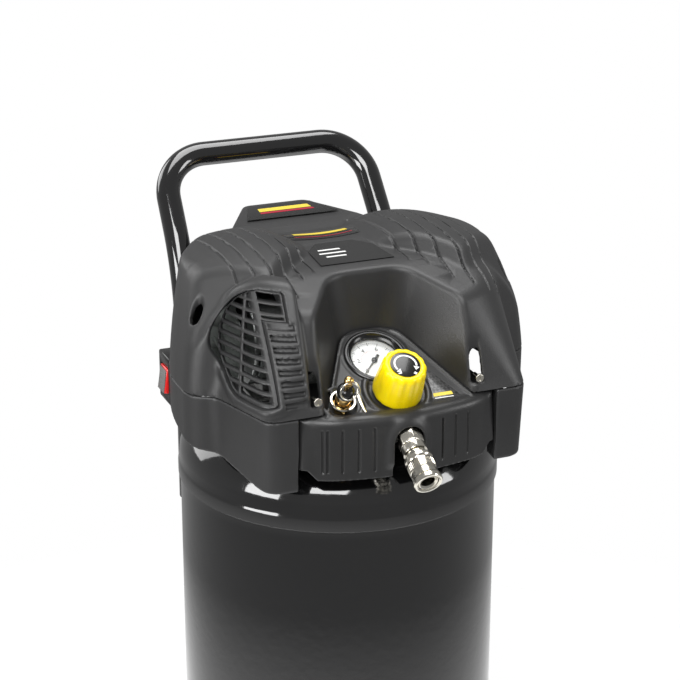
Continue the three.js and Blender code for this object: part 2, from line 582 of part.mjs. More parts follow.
function makePump() {
  const { y, z, bearing } = motor;
  const { left, right, wall } = crank;
  const shell = union(onShaft(motor.right + gap, right + wall, round.wide),
    block(left - wall, right + wall, y, cylinder.front, z - 34, z + 34));
  const inside = union(onShaft(left, right, 35), block(left, right, y, cylinder.front + 5, z - 28, z + 28));
  piece(deck, 'crankcase', cut(shell, inside, onShaft(motor.right - 1, left + 1, bearing + gap, round.middle),
    onShaft(right - 1, right + wall + 1, 26)), 'aluminium');
  const eccentric = union(onShaft(crank.x - 11, crank.x - 4, 20, round.wide),
    bar([crank.x - 5, y, z + crank.throw], [crank.x - 1, y, z + crank.throw], 5, 20));
  piece(deck, 'crank_disc', cut(eccentric, onShaft(crank.x - 30, crank.x + 30, motor.shaft + gap, 20)),
    'steel');
  const rodX = crank.x + 6;
  const seat = cylinder.front + 22;
  const eye = cut(onShaft(rodX - 4.5, rodX + 4.5, 22, round.wide), onShaft(rodX - 8, rodX + 8, 15,
    round.wide));
  piece(deck, 'piston_rod', union(eye, block(rodX - 4.5, rodX + 4.5, y + 20, seat - 1, z - 6, z + 6),
    bar([crank.x, seat - 4, z], [crank.x, seat, z], cylinder.bore - 3)), 'aluminium');
  piece(deck, 'piston_seal', bar([crank.x, seat + gap, z], [crank.x, seat + 3, z], cylinder.bore - 0.4,
    round.wide), 'rubber');
  const tube = (y0, y1, radius) => bar([crank.x, y0, z], [crank.x, y1, z], radius, round.wide);
  piece(deck, 'cylinder_sleeve', cut(tube(cylinder.front + gap, cylinder.back, cylinder.radius),
    tube(cylinder.front - 5, cylinder.back + 5, cylinder.bore)), 'aluminium');
  const [headLow, headHigh] = [cylinder.back + gap, cylinder.back + cylinder.head];
  const fins = [-24, -16, -8, 0, 8, 16, 24].map((dx) =>
    block(crank.x + dx - 1.8, crank.x + dx + 1.8, headLow + 10, headHigh + 1, z - 50, z + 50));
  piece(deck, 'cylinder_head', cut(block(crank.x - 33, crank.x + 33, headLow, headHigh, z - 32, z + 32),
    ...fins),
    'aluminium');
}

function makePumpBase() {
  const { low, high, x0, x1, y0, y1 } = base;
  const saddles = [[-80, -60], [-54, -40], [-20, 4]].map(([a, b]) => block(a, b, y0 + 6, y1 - 6, high - 1,
    high + 19));
  piece(deck, 'pump_base', cut(union(block(x0, x1, y0, y1, low, high), ...saddles),
    onShaft(motor.left - 2, motor.right, motor.radius + gap, round.tank), onShaft(motor.right,
      crank.right + 10, 40 + gap, round.tank),
    block(crank.left - 6, crank.right + 6, motor.y, 60, motor.z - 34 - gap, motor.z)), 'steel');
  for (const [side, a, b] of [['left', -84, -64], ['right', 4, 24]]) {
    piece(deck, `rubber_mount_${side}`, cut(block(a, b, y0 + 4, y1 - 4, 60, low - gap), headRoom(gap)),
      'rubber');
  }
}

function makeDischarge() {
  const { x, y } = checkValve;
  const start = new THREE.Vector3(crank.x + 33 + gap, cylinder.back + 8, 130);
  const route = [start, new THREE.Vector3(x + 2, start.y, 130), new THREE.Vector3(x, y, 112),
    new THREE.Vector3(x, y, 86)];
  piece(deck, 'discharge_tube', bentTube(route, [12, 14], 4, 20, 10), 'copper');
  const seat = cut(bar([x, y, 60], [x, y, 85], 9, 6), headRoom(gap));
  piece(deck, 'check_valve', seat, 'brass');
}

function makeFan() {
  const { x0, x1, radius, hub, blades } = fan;
  const middle = (x0 + x1) / 2;
  const vanes = Array.from({ length: blades }, (_, i) => block(-1.2, 1.2, -8, 8, hub - 3, radius - 1)
    .rotateZ(THREE.MathUtils.degToRad(60))
    .rotateX((i / blades) * 2 * Math.PI)
    .translate(middle, motor.y, motor.z));
  const rim = cut(onShaft(x0 + 2, x1 - 2, radius, round.wide), onShaft(x0, x1, radius - 2, round.wide));
  piece(deck, 'cooling_fan', cut(union(onShaft(x0, x1, hub, round.middle), ...vanes, rim),
    onShaft(x0 + 4, x1 + 1, motor.shaft + gap, 20)), 'darkPlastic');
}

makeTank();
makeDrain();
makeHandle();
makeWheels();
makeFoot();
makeUpperCover();
makeShroud();
makeConsole();
makeCoverScrews();
makeGauge();
makeRegulator();
makeSafetyValve();
makeCoupler();
makeManifold();
makeSwitch();
makeMotor();
makePump();
makePumpBase();
makeDischarge();
makeFan();

export default compressor;
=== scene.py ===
import json
import math
import bmesh
import bpy
import numpy as np
from mathutils import Matrix, Vector


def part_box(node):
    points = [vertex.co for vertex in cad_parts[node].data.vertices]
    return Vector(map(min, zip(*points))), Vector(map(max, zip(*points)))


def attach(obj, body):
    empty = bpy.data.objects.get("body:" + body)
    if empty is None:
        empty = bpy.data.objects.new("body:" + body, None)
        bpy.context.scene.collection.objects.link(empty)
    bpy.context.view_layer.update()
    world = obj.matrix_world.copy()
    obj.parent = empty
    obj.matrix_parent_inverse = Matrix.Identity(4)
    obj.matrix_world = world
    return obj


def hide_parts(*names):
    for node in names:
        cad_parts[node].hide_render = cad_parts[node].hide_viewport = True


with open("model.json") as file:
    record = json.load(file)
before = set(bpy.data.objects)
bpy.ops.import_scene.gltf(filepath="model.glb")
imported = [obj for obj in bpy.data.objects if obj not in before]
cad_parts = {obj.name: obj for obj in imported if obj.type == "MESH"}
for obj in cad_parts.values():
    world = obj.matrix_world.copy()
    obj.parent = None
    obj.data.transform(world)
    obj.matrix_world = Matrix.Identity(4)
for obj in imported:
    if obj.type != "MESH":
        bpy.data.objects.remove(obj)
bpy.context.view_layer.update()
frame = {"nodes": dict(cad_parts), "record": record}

nodeBody = {n: b for b, names in frame["record"]["behaviour"]["bodies"].items() for n in names}
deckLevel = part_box("upper_cover")[0].z - 0.110  # the tank's upper weld band: covers are measured from it
tilt = math.radians(30)  # the console's slope
floorFrame = Matrix.Scale(0.001, 4)  # millimetres from the floor
deckFrame = Matrix.Translation((0, 0, deckLevel)) @ Matrix.Scale(0.001, 4)
consoleFrame = deckFrame @ Matrix.Rotation(tilt, 4, "X")
finishes = {}
print("frame loaded:", len(nodeBody), "nodes")


# ---- node trees ----
class Wire:  # an output socket that can be added, multiplied and so on
    def __init__(self, graph, node, out=0):
        self.graph = graph
        self.node = node
        self.socket = node.outputs[out]

    def out(self, name):
        return Wire(self.graph, self.node, name)

    def math(self, operation, *values, clamp=False):
        settings = {"operation": operation, "use_clamp": clamp}
        return self.graph.add("ShaderNodeMath", settings, dict(enumerate(values)))

    def __add__(self, other):
        return self.math("ADD", self, other)

    def __sub__(self, other):
        return self.math("SUBTRACT", self, other)

    def __rsub__(self, other):
        return self.math("SUBTRACT", other, self)

    def __mul__(self, other):
        return self.math("MULTIPLY", self, other)

    __radd__ = __add__
    __rmul__ = __mul__

    def clamped(self):
        return self.math("ADD", self, 0.0, clamp=True)


class Graph:
    def __init__(self, tree):
        self.tree = tree

    def add(self, kind, settings=None, values=None, out=0):
        node = self.tree.nodes.new(kind)
        for key, value in (settings or {}).items():
            setattr(node, key, value)
        for key, value in (values or {}).items():
            if isinstance(value, Wire):
                self.tree.links.new(value.socket, node.inputs[key])
            else:
                node.inputs[key].default_value = value
        return Wire(self, node, out)


class Paint(Graph):  # a material's tree, with its principled shader
    def __init__(self, name, **constants):
        self.material = bpy.data.materials.new(name)
        self.material.use_nodes = True
        super().__init__(self.material.node_tree)
        self.shader = self.tree.nodes["Principled BSDF"]
        for key, value in constants.items():
            self.shader.inputs[key.replace("_", " ")].default_value = value
        self.place = self.add("ShaderNodeTexCoord").out("Object")
        finishes[name] = self.material

    def noise(self, scale, detail=3.0, rough=0.55, stretch=None):
        where = self.place
        if stretch:
            where = self.add("ShaderNodeMapping", None, {"Vector": self.place, "Scale": stretch})
        values = {"Vector": where, "Scale": scale, "Detail": detail, "Roughness": rough}
        return self.add("ShaderNodeTexNoise", None, values)

    def edges(self, gain=14.0, start=0.515):  # 1 on worn outer edges
        bend = self.add("ShaderNodeNewGeometry").out("Pointiness")
        return ((bend - start) * gain).clamped()

    def blend(self, factor, first, second):
        node = self.add("ShaderNodeMix", {"data_type": "RGBA"}, {0: factor}).node
        for slot, value in ((6, first), (7, second)):
            if isinstance(value, Wire):
                self.tree.links.new(value.socket, node.inputs[slot])
            else:
                node.inputs[slot].default_value = (*value, 1)
        return Wire(self, node, 2)

    def feed(self, **links):
        for key, value in links.items():
            self.tree.links.new(value.socket, self.shader.inputs[key.replace("_", " ")])

    def bumped(self, height, strength, distance):
        values = {"Height": height, "Strength": strength, "Distance": distance}
        self.feed(Normal=self.add("ShaderNodeBump", None, values))


def grey(level, tint=(1, 1, 1)):
    return tuple(level * t for t in tint)


def mouldedPlastic(name, tone, rough, grain=0.35, worn=2.2, **constants):
    paint = Paint(name, **constants)
    fine = paint.noise(1100, 4.0, 0.6)
    broad = paint.noise(16, 3.0)
    scuffs = (paint.noise(70, 5.0, 0.7, (1, 3, 1)) - 0.56) * 5.0
    cloudy = paint.blend(broad, grey(0.82, tone), grey(1.18, tone))
    dusty = paint.blend(scuffs.clamped() * 0.10, cloudy, grey(worn, tone))
    paint.feed(Base_Color=paint.blend(paint.edges() * 0.45, dusty, grey(worn, tone)))
    paint.feed(Roughness=(broad - 0.5) * 0.16 + (fine - 0.5) * 0.10 + rough)
    paint.bumped(fine, grain, 0.0004)


def enamel(name, tone, rough=0.09):
    paint = Paint(name, Coat_Roughness=0.04, Specular_IOR_Level=0.55)
    peel = paint.noise(120, 2.0, 0.4)
    dust = paint.noise(900, 5.0, 0.7)
    broad = paint.noise(9, 3.0)
    cloudy = paint.blend(broad, tone, grey(1.7, tone))
    paint.feed(Base_Color=paint.blend(paint.edges() * 0.5, cloudy, grey(0.09)))
    paint.feed(Roughness=((dust - 0.55) * 0.5).clamped() + broad * 0.05 + rough - 0.02)
    paint.feed(Coat_Weight=1.0 - ((dust - 0.6) * 3.0).clamped() * 0.5)
    paint.bumped(peel, 0.10, 0.0012)


def metal(name, tone, rough, grain=300.0, stretch=(1, 1, 1), depth=0.12, stain=None):
    paint = Paint(name)
    fine = paint.noise(grain, 4.0, 0.65, stretch)
    broad = paint.noise(45, 4.0, 0.6)
    base = paint.blend(fine, grey(0.78, tone), tone)
    stained = paint.blend(((broad - 0.52) * 4.0).clamped() * 0.55, base, stain or grey(0.5, tone))
    paint.feed(Base_Color=paint.blend(paint.edges() * 0.6, stained, grey(1.25, tone)))
    paint.feed(Roughness=(fine - 0.5) * 0.22 + (broad - 0.5) * 0.2 + rough)
    paint.feed(Metallic=1.0 - ((broad - 0.62) * 3.0).clamped() * 0.35)
    paint.bumped(fine, depth, 0.0003)


def softRubber(name, tone, rough):
    paint = Paint(name)
    fine = paint.noise(800, 5.0, 0.7)
    broad = paint.noise(26, 4.0)
    bloom = ((broad - 0.5) * 3.0).clamped()
    paint.feed(Base_Color=paint.blend(bloom * 0.35, tone, grey(3.0, tone)))
    paint.feed(Roughness=(fine - 0.5) * 0.15 + bloom * 0.05 + rough)
    paint.bumped(fine, 0.45, 0.0005)


def printedFace(name, tone, rough, mottle=0.06, coat=0.0):
    paint = Paint(name, Coat_Weight=coat, Coat_Roughness=0.03)
    fibre = paint.noise(1500, 5.0, 0.6)
    broad = paint.noise(40, 3.0)
    paint.feed(Base_Color=paint.blend(broad * mottle * 4.0, tone, grey(0.7, tone)))
    paint.feed(Roughness=(fibre - 0.5) * 0.12 + (broad - 0.5) * 0.1 + rough)
    paint.bumped(fibre, 0.08, 0.0002)


def steelSheets(name):  # thin stacked sheets, seen on their edges
    paint = Paint(name)
    across = paint.add("ShaderNodeSeparateXYZ", None, {"Vector": paint.place})
    layers = across.math("SINE", across * 6981.0)  # a sheet every 0.9 mm
    broad = paint.noise(60, 4.0)
    tone = paint.blend((layers * 0.5 + 0.5).clamped(), (0.09, 0.10, 0.10), (0.30, 0.31, 0.30))
    paint.feed(Base_Color=paint.blend(((broad - 0.55) * 5.0).clamped() * 0.4, tone, (0.16, 0.08, 0.04)))
    paint.feed(Roughness=broad * 0.25 + 0.35)
    paint.feed(Metallic=1.0 - ((broad - 0.6) * 4.0).clamped())
    paint.bumped(layers, 0.35, 0.0003)


def wovenPlate(name):  # a small woven pattern under clear lacquer
    paint = Paint(name, Coat_Weight=0.6, Coat_Roughness=0.08)
    turned = paint.add("ShaderNodeMapping", None, {"Vector": paint.place, "Rotation": (0, 0, 0.785)})
    values = {"Vector": turned, "Scale": 420.0, "Color1": (*grey(0.004), 1), "Color2": (*grey(0.05), 1)}
    weave = paint.add("ShaderNodeTexChecker", None, values)
    broad = paint.noise(50, 3.0)
    paint.feed(Base_Color=paint.blend(broad * 0.3, weave, (0.02, 0.02, 0.02)))
    paint.feed(Roughness=weave.out("Fac") * 0.2 + broad * 0.1 + 0.25)
    paint.bumped(weave.out("Fac"), 0.3, 0.0003)


def clearWindow(name):
    paint = Paint(name, IOR=1.45)
    smear = paint.noise(60, 4.0)
    paint.feed(Base_Color=paint.blend(smear * 0.2, (0.85, 0.87, 0.88), (0.7, 0.72, 0.73)))
    paint.feed(Roughness=smear * 0.05 + 0.01)
    paint.feed(Alpha=smear * 0.02 + 0.02)
    paint.bumped(smear, 0.02, 0.0002)


def mixFinishes():
    mouldedPlastic("cover_plastic", (0.0255, 0.0255, 0.0258), 0.42)
    mouldedPlastic("console_plastic", (0.0225, 0.0225, 0.0227), 0.36, 0.22)
    mouldedPlastic("wheel_plastic", (0.012, 0.012, 0.012), 0.42)
    mouldedPlastic("gauge_black", (0.006, 0.006, 0.006), 0.16, 0.08, 3.0)
    mouldedPlastic("fan_plastic", (0.23, 0.25, 0.235), 0.30, 0.2, 1.5)
    mouldedPlastic("knob_yellow", (1.0, 0.74, 0.0), 0.28, 0.10, 1.04, Subsurface_Weight=0.06)
    mouldedPlastic("rocker_red", (0.58, 0.012, 0.010), 0.20, 0.1, 1.3, Coat_Weight=0.5)
    # a pale grey, partly clear plastic, used only to paint the glare on the switch rocker's outer face
    mouldedPlastic("soft_clear", (0.20, 0.20, 0.195), 0.25, 0.15, 1.3, Transmission_Weight=0.35)
    enamel("tank_paint", (0.0035, 0.0035, 0.0037))
    metal("nickel", (0.74, 0.71, 0.63), 0.17, stain=(0.46, 0.40, 0.28))
    metal("brass", (0.78, 0.52, 0.20), 0.20, stain=(0.42, 0.22, 0.07))
    metal("plain_steel", (0.52, 0.52, 0.51), 0.30, 500.0, (1, 6, 6), 0.15)
    metal("cast_aluminium", (0.58, 0.60, 0.59), 0.38, 420.0, (1, 1, 1), 0.5)
    metal("dark_casting", (0.030, 0.031, 0.031), 0.5, 420.0, (1, 1, 1), 0.5)
    metal("copper", (0.80, 0.38, 0.20), 0.28, stain=(0.30, 0.12, 0.06))
    softRubber("rubber", (0.010, 0.010, 0.010), 0.72)
    softRubber("tyre", (0.008, 0.008, 0.008), 0.82)
    printedFace("dial_white", (0.86, 0.88, 0.88), 0.42)
    printedFace("dial_ink", (0.012, 0.012, 0.012), 0.5)
    printedFace("label_black", (0.006, 0.006, 0.006), 0.24, 0.2, 0.25)
    printedFace("print_white", (0.85, 0.85, 0.84), 0.35)
    printedFace("print_yellow", (0.80, 0.62, 0.06), 0.3)
    printedFace("print_red", (0.42, 0.015, 0.04), 0.3)
    steelSheets("laminate")
    wovenPlate("woven_black")
    clearWindow("lens_clear")


# ---- pieces ----
def addPiece(name, mesh, finish, node, replaces=(), smooth=38.0):
    thing = bpy.data.objects.new(name, mesh)
    bpy.context.scene.collection.objects.link(thing)
    mesh.materials.clear()
    mesh.materials.append(finishes[finish])
    mesh.polygons.foreach_set("material_index", [0] * len(mesh.polygons))
    shade(mesh, smooth)
    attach(thing, nodeBody[node])
    if replaces:
        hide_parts(*replaces)


def standIn(name, mesh, finish, node, smooth=38.0):  # a piece in the place of a CAD node
    addPiece(name, mesh, finish, node, [node], smooth)


def shade(mesh, degrees):
    mesh.polygons.foreach_set("use_smooth", [True] * len(mesh.polygons))
    mesh.set_sharp_from_angle(angle=math.radians(degrees))
    mesh.update()


def meshOf(name, points, faces):
    mesh = bpy.data.meshes.new(name)
    mesh.from_pydata([tuple(p) for p in points], [], faces)
    mesh.validate()
    return mesh


def outward(mesh):
    work = bmesh.new()
    work.from_mesh(mesh)
    bmesh.ops.remove_doubles(work, verts=work.verts, dist=1e-6)
    bmesh.ops.recalc_face_normals(work, faces=work.faces)
    if work.calc_volume(signed=True) < 0:
        bmesh.ops.reverse_faces(work, faces=work.faces)
    work.to_mesh(mesh)
    work.free()
    return mesh


def evaluated(thing):
    graph = bpy.context.evaluated_depsgraph_get()
    mesh = bpy.data.meshes.new_from_object(thing.evaluated_get(graph))
    bpy.data.objects.remove(thing)
    return mesh


def onBench(mesh):  # an object for the time that its modifier is at work
    thing = bpy.data.objects.new("work", mesh)
    bpy.context.scene.collection.objects.link(thing)
    return thing


def bevelled(mesh, width):
    thing = onBench(mesh)
    bevel = thing.modifiers.new("bevel", "BEVEL")
    bevel.width = width / 1000
    bevel.segments = 2
    bevel.limit_method = "ANGLE"
    bevel.angle_limit = math.radians(32)
    bevel.harden_normals = False
    return evaluated(thing)


# A CAD node's own form with its edges broken, so that it catches the light
def polished(node, finish, width=0.8):
    work = bmesh.new()
    work.from_mesh(frame["nodes"][node].data)
    bmesh.ops.remove_doubles(work, verts=work.verts, dist=2e-6)
    bmesh.ops.dissolve_limit(work, angle_limit=math.radians(1.5), verts=work.verts, edges=work.edges)
    mesh = bpy.data.meshes.new(node + "_form")
    work.to_mesh(mesh)
    work.free()
    mesh.materials.clear()
    standIn(node + "_finished", bevelled(mesh, width), finish, node)


# Rings of points about an upright axis; each ring is (radius, height, depth of the lobes)
def turned(name, rings, place, segments=96, lobes=0, sharp=2.0):
    points = []
    faces = []
    for radius, height, *depth in rings:
        if radius == 0:
            points.append([Vector((0, 0, height))])
            continue
        loop = []
        for i in range(segments):
            angle = 2 * math.pi * i / segments
            wave = abs(math.cos(angle * lobes / 2)) ** sharp if lobes else 0
            reach = radius - (depth[0] if depth else 0) * wave
            loop.append(Vector((reach * math.cos(angle), reach * math.sin(angle), height)))
        points.append(loop)
    starts = [0]
    for loop in points:
        starts.append(starts[-1] + len(loop))
    pairs = list(zip(range(len(points)), range(1, len(points))))
    if rings[0][0] != 0:
        pairs.append((len(points) - 1, 0))
    for a, b in pairs:
        for i in range(segments):
            j = (i + 1) % segments
            low = [starts[a] + (k if len(points[a]) > 1 else 0) for k in (i, j)]
            high = [starts[b] + (k if len(points[b]) > 1 else 0) for k in (i, j)]
            face = list(dict.fromkeys([low[0], low[1], high[1], high[0]]))
            if len(face) > 2:
                faces.append(face)
    return outward(meshOf(name, [place @ p for loop in points for p in loop], faces))


def arc(cx, cy, radius, start, end, count=6):  # points on a round stretch of a profile, angles in degrees
    turns = [math.radians(start + (end - start) * i / (count - 1)) for i in range(count)]
    return [(cx + radius * math.cos(t), cy + radius * math.sin(t)) for t in turns]


def slab(name, outline, low, high, place, edge=0.0):
    points = [Vector((x, y, low)) for x, y in outline] + [Vector((x, y, high)) for x, y in outline]
    count = len(outline)
    faces = [list(range(count))[::-1], list(range(count, 2 * count))]
    faces += [[i, (i + 1) % count, count + (i + 1) % count, count + i] for i in range(count)]
    mesh = outward(meshOf(name, [place @ p for p in points], faces))
    return bevelled(mesh, edge) if edge else mesh


def joined(name, meshes):
    work = bmesh.new()
    for mesh in meshes:
        work.from_mesh(mesh)
    whole = bpy.data.meshes.new(name)
    work.to_mesh(whole)
    work.free()
    return whole


# ---- geometry node trees ----
def newTree(name, inputs):
    tree = bpy.data.node_groups.new(name, "GeometryNodeTree")
    named = {"Geometry": "Geometry", "Finish": "Material"}
    typed = {int: "Int", float: "Float", tuple: "Vector"}
    for key, value in inputs.items():
        kind = named.get(key) or typed[type(value)]
        socket = tree.interface.new_socket(key, in_out="INPUT", socket_type="NodeSocket" + kind)
        if value is not None:
            socket.default_value = value
    tree.interface.new_socket("Geometry", in_out="OUTPUT", socket_type="NodeSocketGeometry")
    graph = Graph(tree)
    return graph, graph.add("NodeGroupInput")


def endTree(graph, shape, finish):
    real = graph.add("GeometryNodeRealizeInstances", None, {"Geometry": shape})
    done = graph.add("GeometryNodeSetMaterial", None, {"Geometry": real, "Material": finish})
    last = graph.tree.nodes.new("NodeGroupOutput")
    graph.tree.links.new(done.socket, last.inputs[0])
    return graph.tree


def repeatTree():  # copies of an item, each turned further about an axis
    inputs = {"Geometry": None, "Count": 8, "Turn": 0.1, "Axis": (0, 0, 1), "Pivot": (0, 0, 0),
              "Finish": None}
    graph, given = newTree("repeated_item", inputs)
    one = graph.add("GeometryNodeGeometryToInstance", None, {"Geometry": given.out("Geometry")})
    many = graph.add("GeometryNodeDuplicateElements", {"domain": "INSTANCE"},
                     {"Geometry": one, "Amount": given.out("Count")})
    index = many.out("Duplicate Index")
    angle = graph.add("ShaderNodeMath", {"operation": "MULTIPLY"}, {0: index, 1: given.out("Turn")})
    spin = graph.add("FunctionNodeAxisAngleToRotation", None, {"Axis": given.out("Axis"), "Angle": angle})
    values = {"Instances": many, "Rotation": spin, "Pivot Point": given.out("Pivot")}
    swung = graph.add("GeometryNodeRotateInstances", None, {**values, "Local Space": False})
    return endTree(graph, swung, given.out("Finish"))


def tubeTree():  # a round bar along a line with its corners rounded by the attribute bend
    inputs = {"Geometry": None, "Radius": 0.01, "Sides": 32, "Corner steps": 16, "Finish": None}
    graph, given = newTree("bent_tube", inputs)
    line = graph.add("GeometryNodeMeshToCurve", None, {"Mesh": given.out("Geometry")})
    bend = graph.add("GeometryNodeInputNamedAttribute", {"data_type": "FLOAT"}, {"Name": "bend"})
    values = {"Curve": line, "Count": given.out("Corner steps"), "Radius": bend, "Limit Radius": True}
    curved = graph.add("GeometryNodeFilletCurve", {"mode": "POLY"}, values)
    values = {"Resolution": given.out("Sides"), "Radius": given.out("Radius")}
    section = graph.add("GeometryNodeCurvePrimitiveCircle", None, values)
    values = {"Curve": curved, "Profile Curve": section, "Fill Caps": True}
    return endTree(graph, graph.add("GeometryNodeCurveToMesh", None, values), given.out("Finish"))


trees = {}


def grown(mesh, treeName, finish, **inputs):
    if treeName not in trees:
        trees[treeName] = {"repeat": repeatTree, "tube": tubeTree}[treeName]()
    tree = trees[treeName]
    thing = onBench(mesh)
    modifier = thing.modifiers.new("nodes", "NODES")
    modifier.node_group = tree
    sockets = {s.name: s.identifier for s in tree.interface.items_tree if s.in_out == "INPUT"}
    for key, value in inputs.items():
        modifier[sockets[key.replace("_", " ")]] = value
    modifier[sockets["Finish"]] = finishes[finish]
    return evaluated(thing)


def repeated(mesh, finish, count, turn, axis, pivot):
    return grown(mesh, "repeat", finish, Count=count, Turn=turn, Axis=tuple(axis), Pivot=tuple(pivot))


def tube(name, route, bends, radius, place, finish, sides=32, steps=16):
    mesh = bpy.data.meshes.new(name)
    mesh.from_pydata([place @ Vector(p) for p in route], [(i, i + 1) for i in range(len(route) - 1)], [])
    bend = mesh.attributes.new("bend", "FLOAT", "POINT")
    for i, corner in enumerate(bends):
        bend.data[i].value = corner / 1000
    mesh = grown(mesh, "tube", finish, Radius=radius / 1000, Sides=sides, Corner_steps=steps)
    return outward(mesh)


# ---- moulded forms: a distance field, its surface found on a grid ----
def smoothMax(a, b, k):
    k = np.maximum(k, 1e-6)
    near = np.maximum(k - np.abs(a - b), 0) / k
    return np.maximum(a, b) + near * near * (k / 4)


def smoothMin(a, b, k):
    return -smoothMax(-a, -b, k)


def bulk(fields, k):
    total = fields[0]
    for field in fields[1:]:
        total = smoothMax(total, field, k)
    return total


def boxField(x, y, z, low, high, k=0.0):
    sides = [low[0] - x, x - high[0], low[1] - y, y - high[1], low[2] - z, z - high[2]]
    return bulk(sides, k)


def netPoints(field, low, high, step):
    axes = [np.arange(a, b + s, s, dtype=np.float32) for a, b, s in zip(low, high, step)]
    grid = np.meshgrid(*axes, indexing="ij")
    values = field(*grid).astype(np.float32)
    inside = values < 0
    near = np.zeros([n - 1 for n in inside.shape], np.int8)
    corners = [(i, j, k) for i in (0, 1) for j in (0, 1) for k in (0, 1)]
    for i, j, k in corners:
        near += inside[i:inside.shape[0] - 1 + i, j:inside.shape[1] - 1 + j, k:inside.shape[2] - 1 + k]
    cells = np.argwhere((near > 0) & (near < 8))
    index = np.full(near.shape, -1, np.int64)
    index[tuple(cells.T)] = np.arange(len(cells))
    total = np.zeros((len(cells), 3))
    crossings = np.zeros(len(cells))
    for a in corners:
        for axis in range(3):
            if a[axis]:
                continue
            b = list(a)
            b[axis] = 1
            va = values[tuple((cells + a).T)]
            vb = values[tuple((cells + b).T)]
            cross = (va < 0) != (vb < 0)
            share = np.where(cross, va / np.where(cross, va - vb, 1), 0)
            spot = (cells + a).astype(float)
            spot[:, axis] += share
            total += spot * cross[:, None]
            crossings += cross
    points = total / crossings[:, None] * np.array(step) + np.array(low)
    faces = []
    for axis in range(3):
        u, v = (axis + 1) % 3, (axis + 2) % 3
        first = [slice(1, n - 1) for n in inside.shape]
        first[axis] = slice(0, inside.shape[axis] - 1)
        second = list(first)
        second[axis] = slice(1, inside.shape[axis])
        here, there = inside[tuple(first)], inside[tuple(second)]
        edges = np.argwhere(here != there)
        solidBelow = here[tuple(edges.T)]
        offset = np.ones(3, int)
        offset[axis] = 0
        edges = edges + offset
        quads = []
        for du, dv in ((0, 0), (-1, 0), (-1, -1), (0, -1)):
            cell = edges.copy()
            cell[:, u] += du
            cell[:, v] += dv
            quads.append(index[tuple(cell.T)])
        quads = np.stack(quads, 1)
        quads[~solidBelow] = quads[~solidBelow][:, ::-1]
        faces.append(quads)
    return points, np.concatenate(faces)


def onSurface(field, points, reach, rounds=3):
    h = 0.05
    for _ in range(rounds):
        here = field(*points.T)
        rise = [field(*(points + d).T) - field(*(points - d).T) for d in np.eye(3) * h]
        slope = np.stack(rise, 1) / (2 * h)
        size = np.maximum((slope ** 2).sum(1), 0.05)
        move = -slope * (here / size)[:, None]
        length = np.maximum(np.linalg.norm(move, axis=1), 1e-9)
        points = points + move * np.minimum(1, reach / length)[:, None]
    return points


def moulded(name, field, low, high, step, place, most=190000):
    points, quads = netPoints(field, low, high, step)
    points = onSurface(field, points, min(step) * 0.6)
    matrix = np.array(place)
    points = points @ matrix[:3, :3].T + matrix[:3, 3]
    mesh = bpy.data.meshes.new(name)
    mesh.vertices.add(len(points))
    mesh.vertices.foreach_set("co", points.astype(np.float32).ravel())
    mesh.loops.add(quads.size)
    mesh.loops.foreach_set("vertex_index", quads.ravel().astype(np.int32))
    mesh.polygons.add(len(quads))
    mesh.polygons.foreach_set("loop_start", np.arange(0, quads.size, 4, dtype=np.int32))
    mesh.update(calc_edges=True)
    mesh.validate()
    triangles = 2 * len(quads)
    if triangles > most:
        thing = onBench(mesh)
        thin = thing.modifiers.new("thin", "DECIMATE")
        thin.ratio = most / triangles
        mesh = evaluated(thing)
    print("moulded", name, triangles, "->", len(mesh.polygons))
    return mesh


# ---- covers ----
coverSize = {"low": 110.0, "front": 138.0, "side": 156.0, "frontLean": 0.31, "sideBow": 0.0018, "deck": 205.5,
             "humpTop": 220.0, "humpFront": 66.0, "humpBack": 84.0, "wall": 4.2, "grooveWidth": 1.5,
             "grooves": [43.5, 57.0, 70.0, 84.0, 97.0, 110.0], "grooveDepth": 1.5, "blockTop": 201.0,
             "grooveFronts": [-56.0, -65.0, -88.0, -98.0, -99.5, -90.0], "recess": 70.0, "recessBack": 63.0}


def noseField(x, y, z):  # the leaning front and its two rounded corners
    climb = z - coverSize["low"]
    ax = np.abs(x)
    front = (-y - coverSize["front"] + coverSize["frontLean"] * climb) / 1.047
    corner = (0.959 * (ax - 118) - 0.283 * (y + 127) + 0.24 * climb) / 1.028
    soft = 10 + 0.45 * np.maximum(climb, 0)  # the corner is rounder further up
    return smoothMax(smoothMax(front, corner, soft), (ax - 148 + 0.12 * climb) / 1.01, 10)


def wallField(x, y, z):  # the cover's outline seen from above, leaning in as it climbs
    climb = z - coverSize["low"]
    ax = np.abs(x)
    bulge = (ax - coverSize["side"] + 0.05 * climb + coverSize["sideBow"] * climb * np.abs(climb)) / 1.02
    bulgeFront = (0.5 * (ax - 137) - 0.866 * (y + 66) + 0.10 * climb) / 1.01
    rearLean = 0.05 * climb + 0.0004 * climb * np.abs(climb)
    rearSide = 0.935 * (ax - coverSize["side"]) + 0.356 * y + rearLean
    rearCorner = 0.805 * (ax - 140) + 0.593 * (y - 42) + rearLean
    rear = 0.462 * (ax - 112) + 0.887 * (y - 80) + 0.08 * climb
    side = smoothMax(bulge, bulgeFront, 12)
    back = smoothMax(smoothMax(rearSide, rearCorner, 14), rear, 12)
    return smoothMax(smoothMin(noseField(x, y, z), side, 5), back, 8)


def deckHeight(x, y):  # the top between and outside the two humps
    ax = np.abs(x)
    ahead = smoothMax(-y - 56, 0, 12)
    behind = smoothMax(y - 45, 0, 16)
    out = smoothMax(ax - 84, 0, 10) ** 2 * np.clip(-y / 24, 0, 1)
    return coverSize["deck"] - 0.3 * ahead - 0.35 * behind - 0.0125 * out


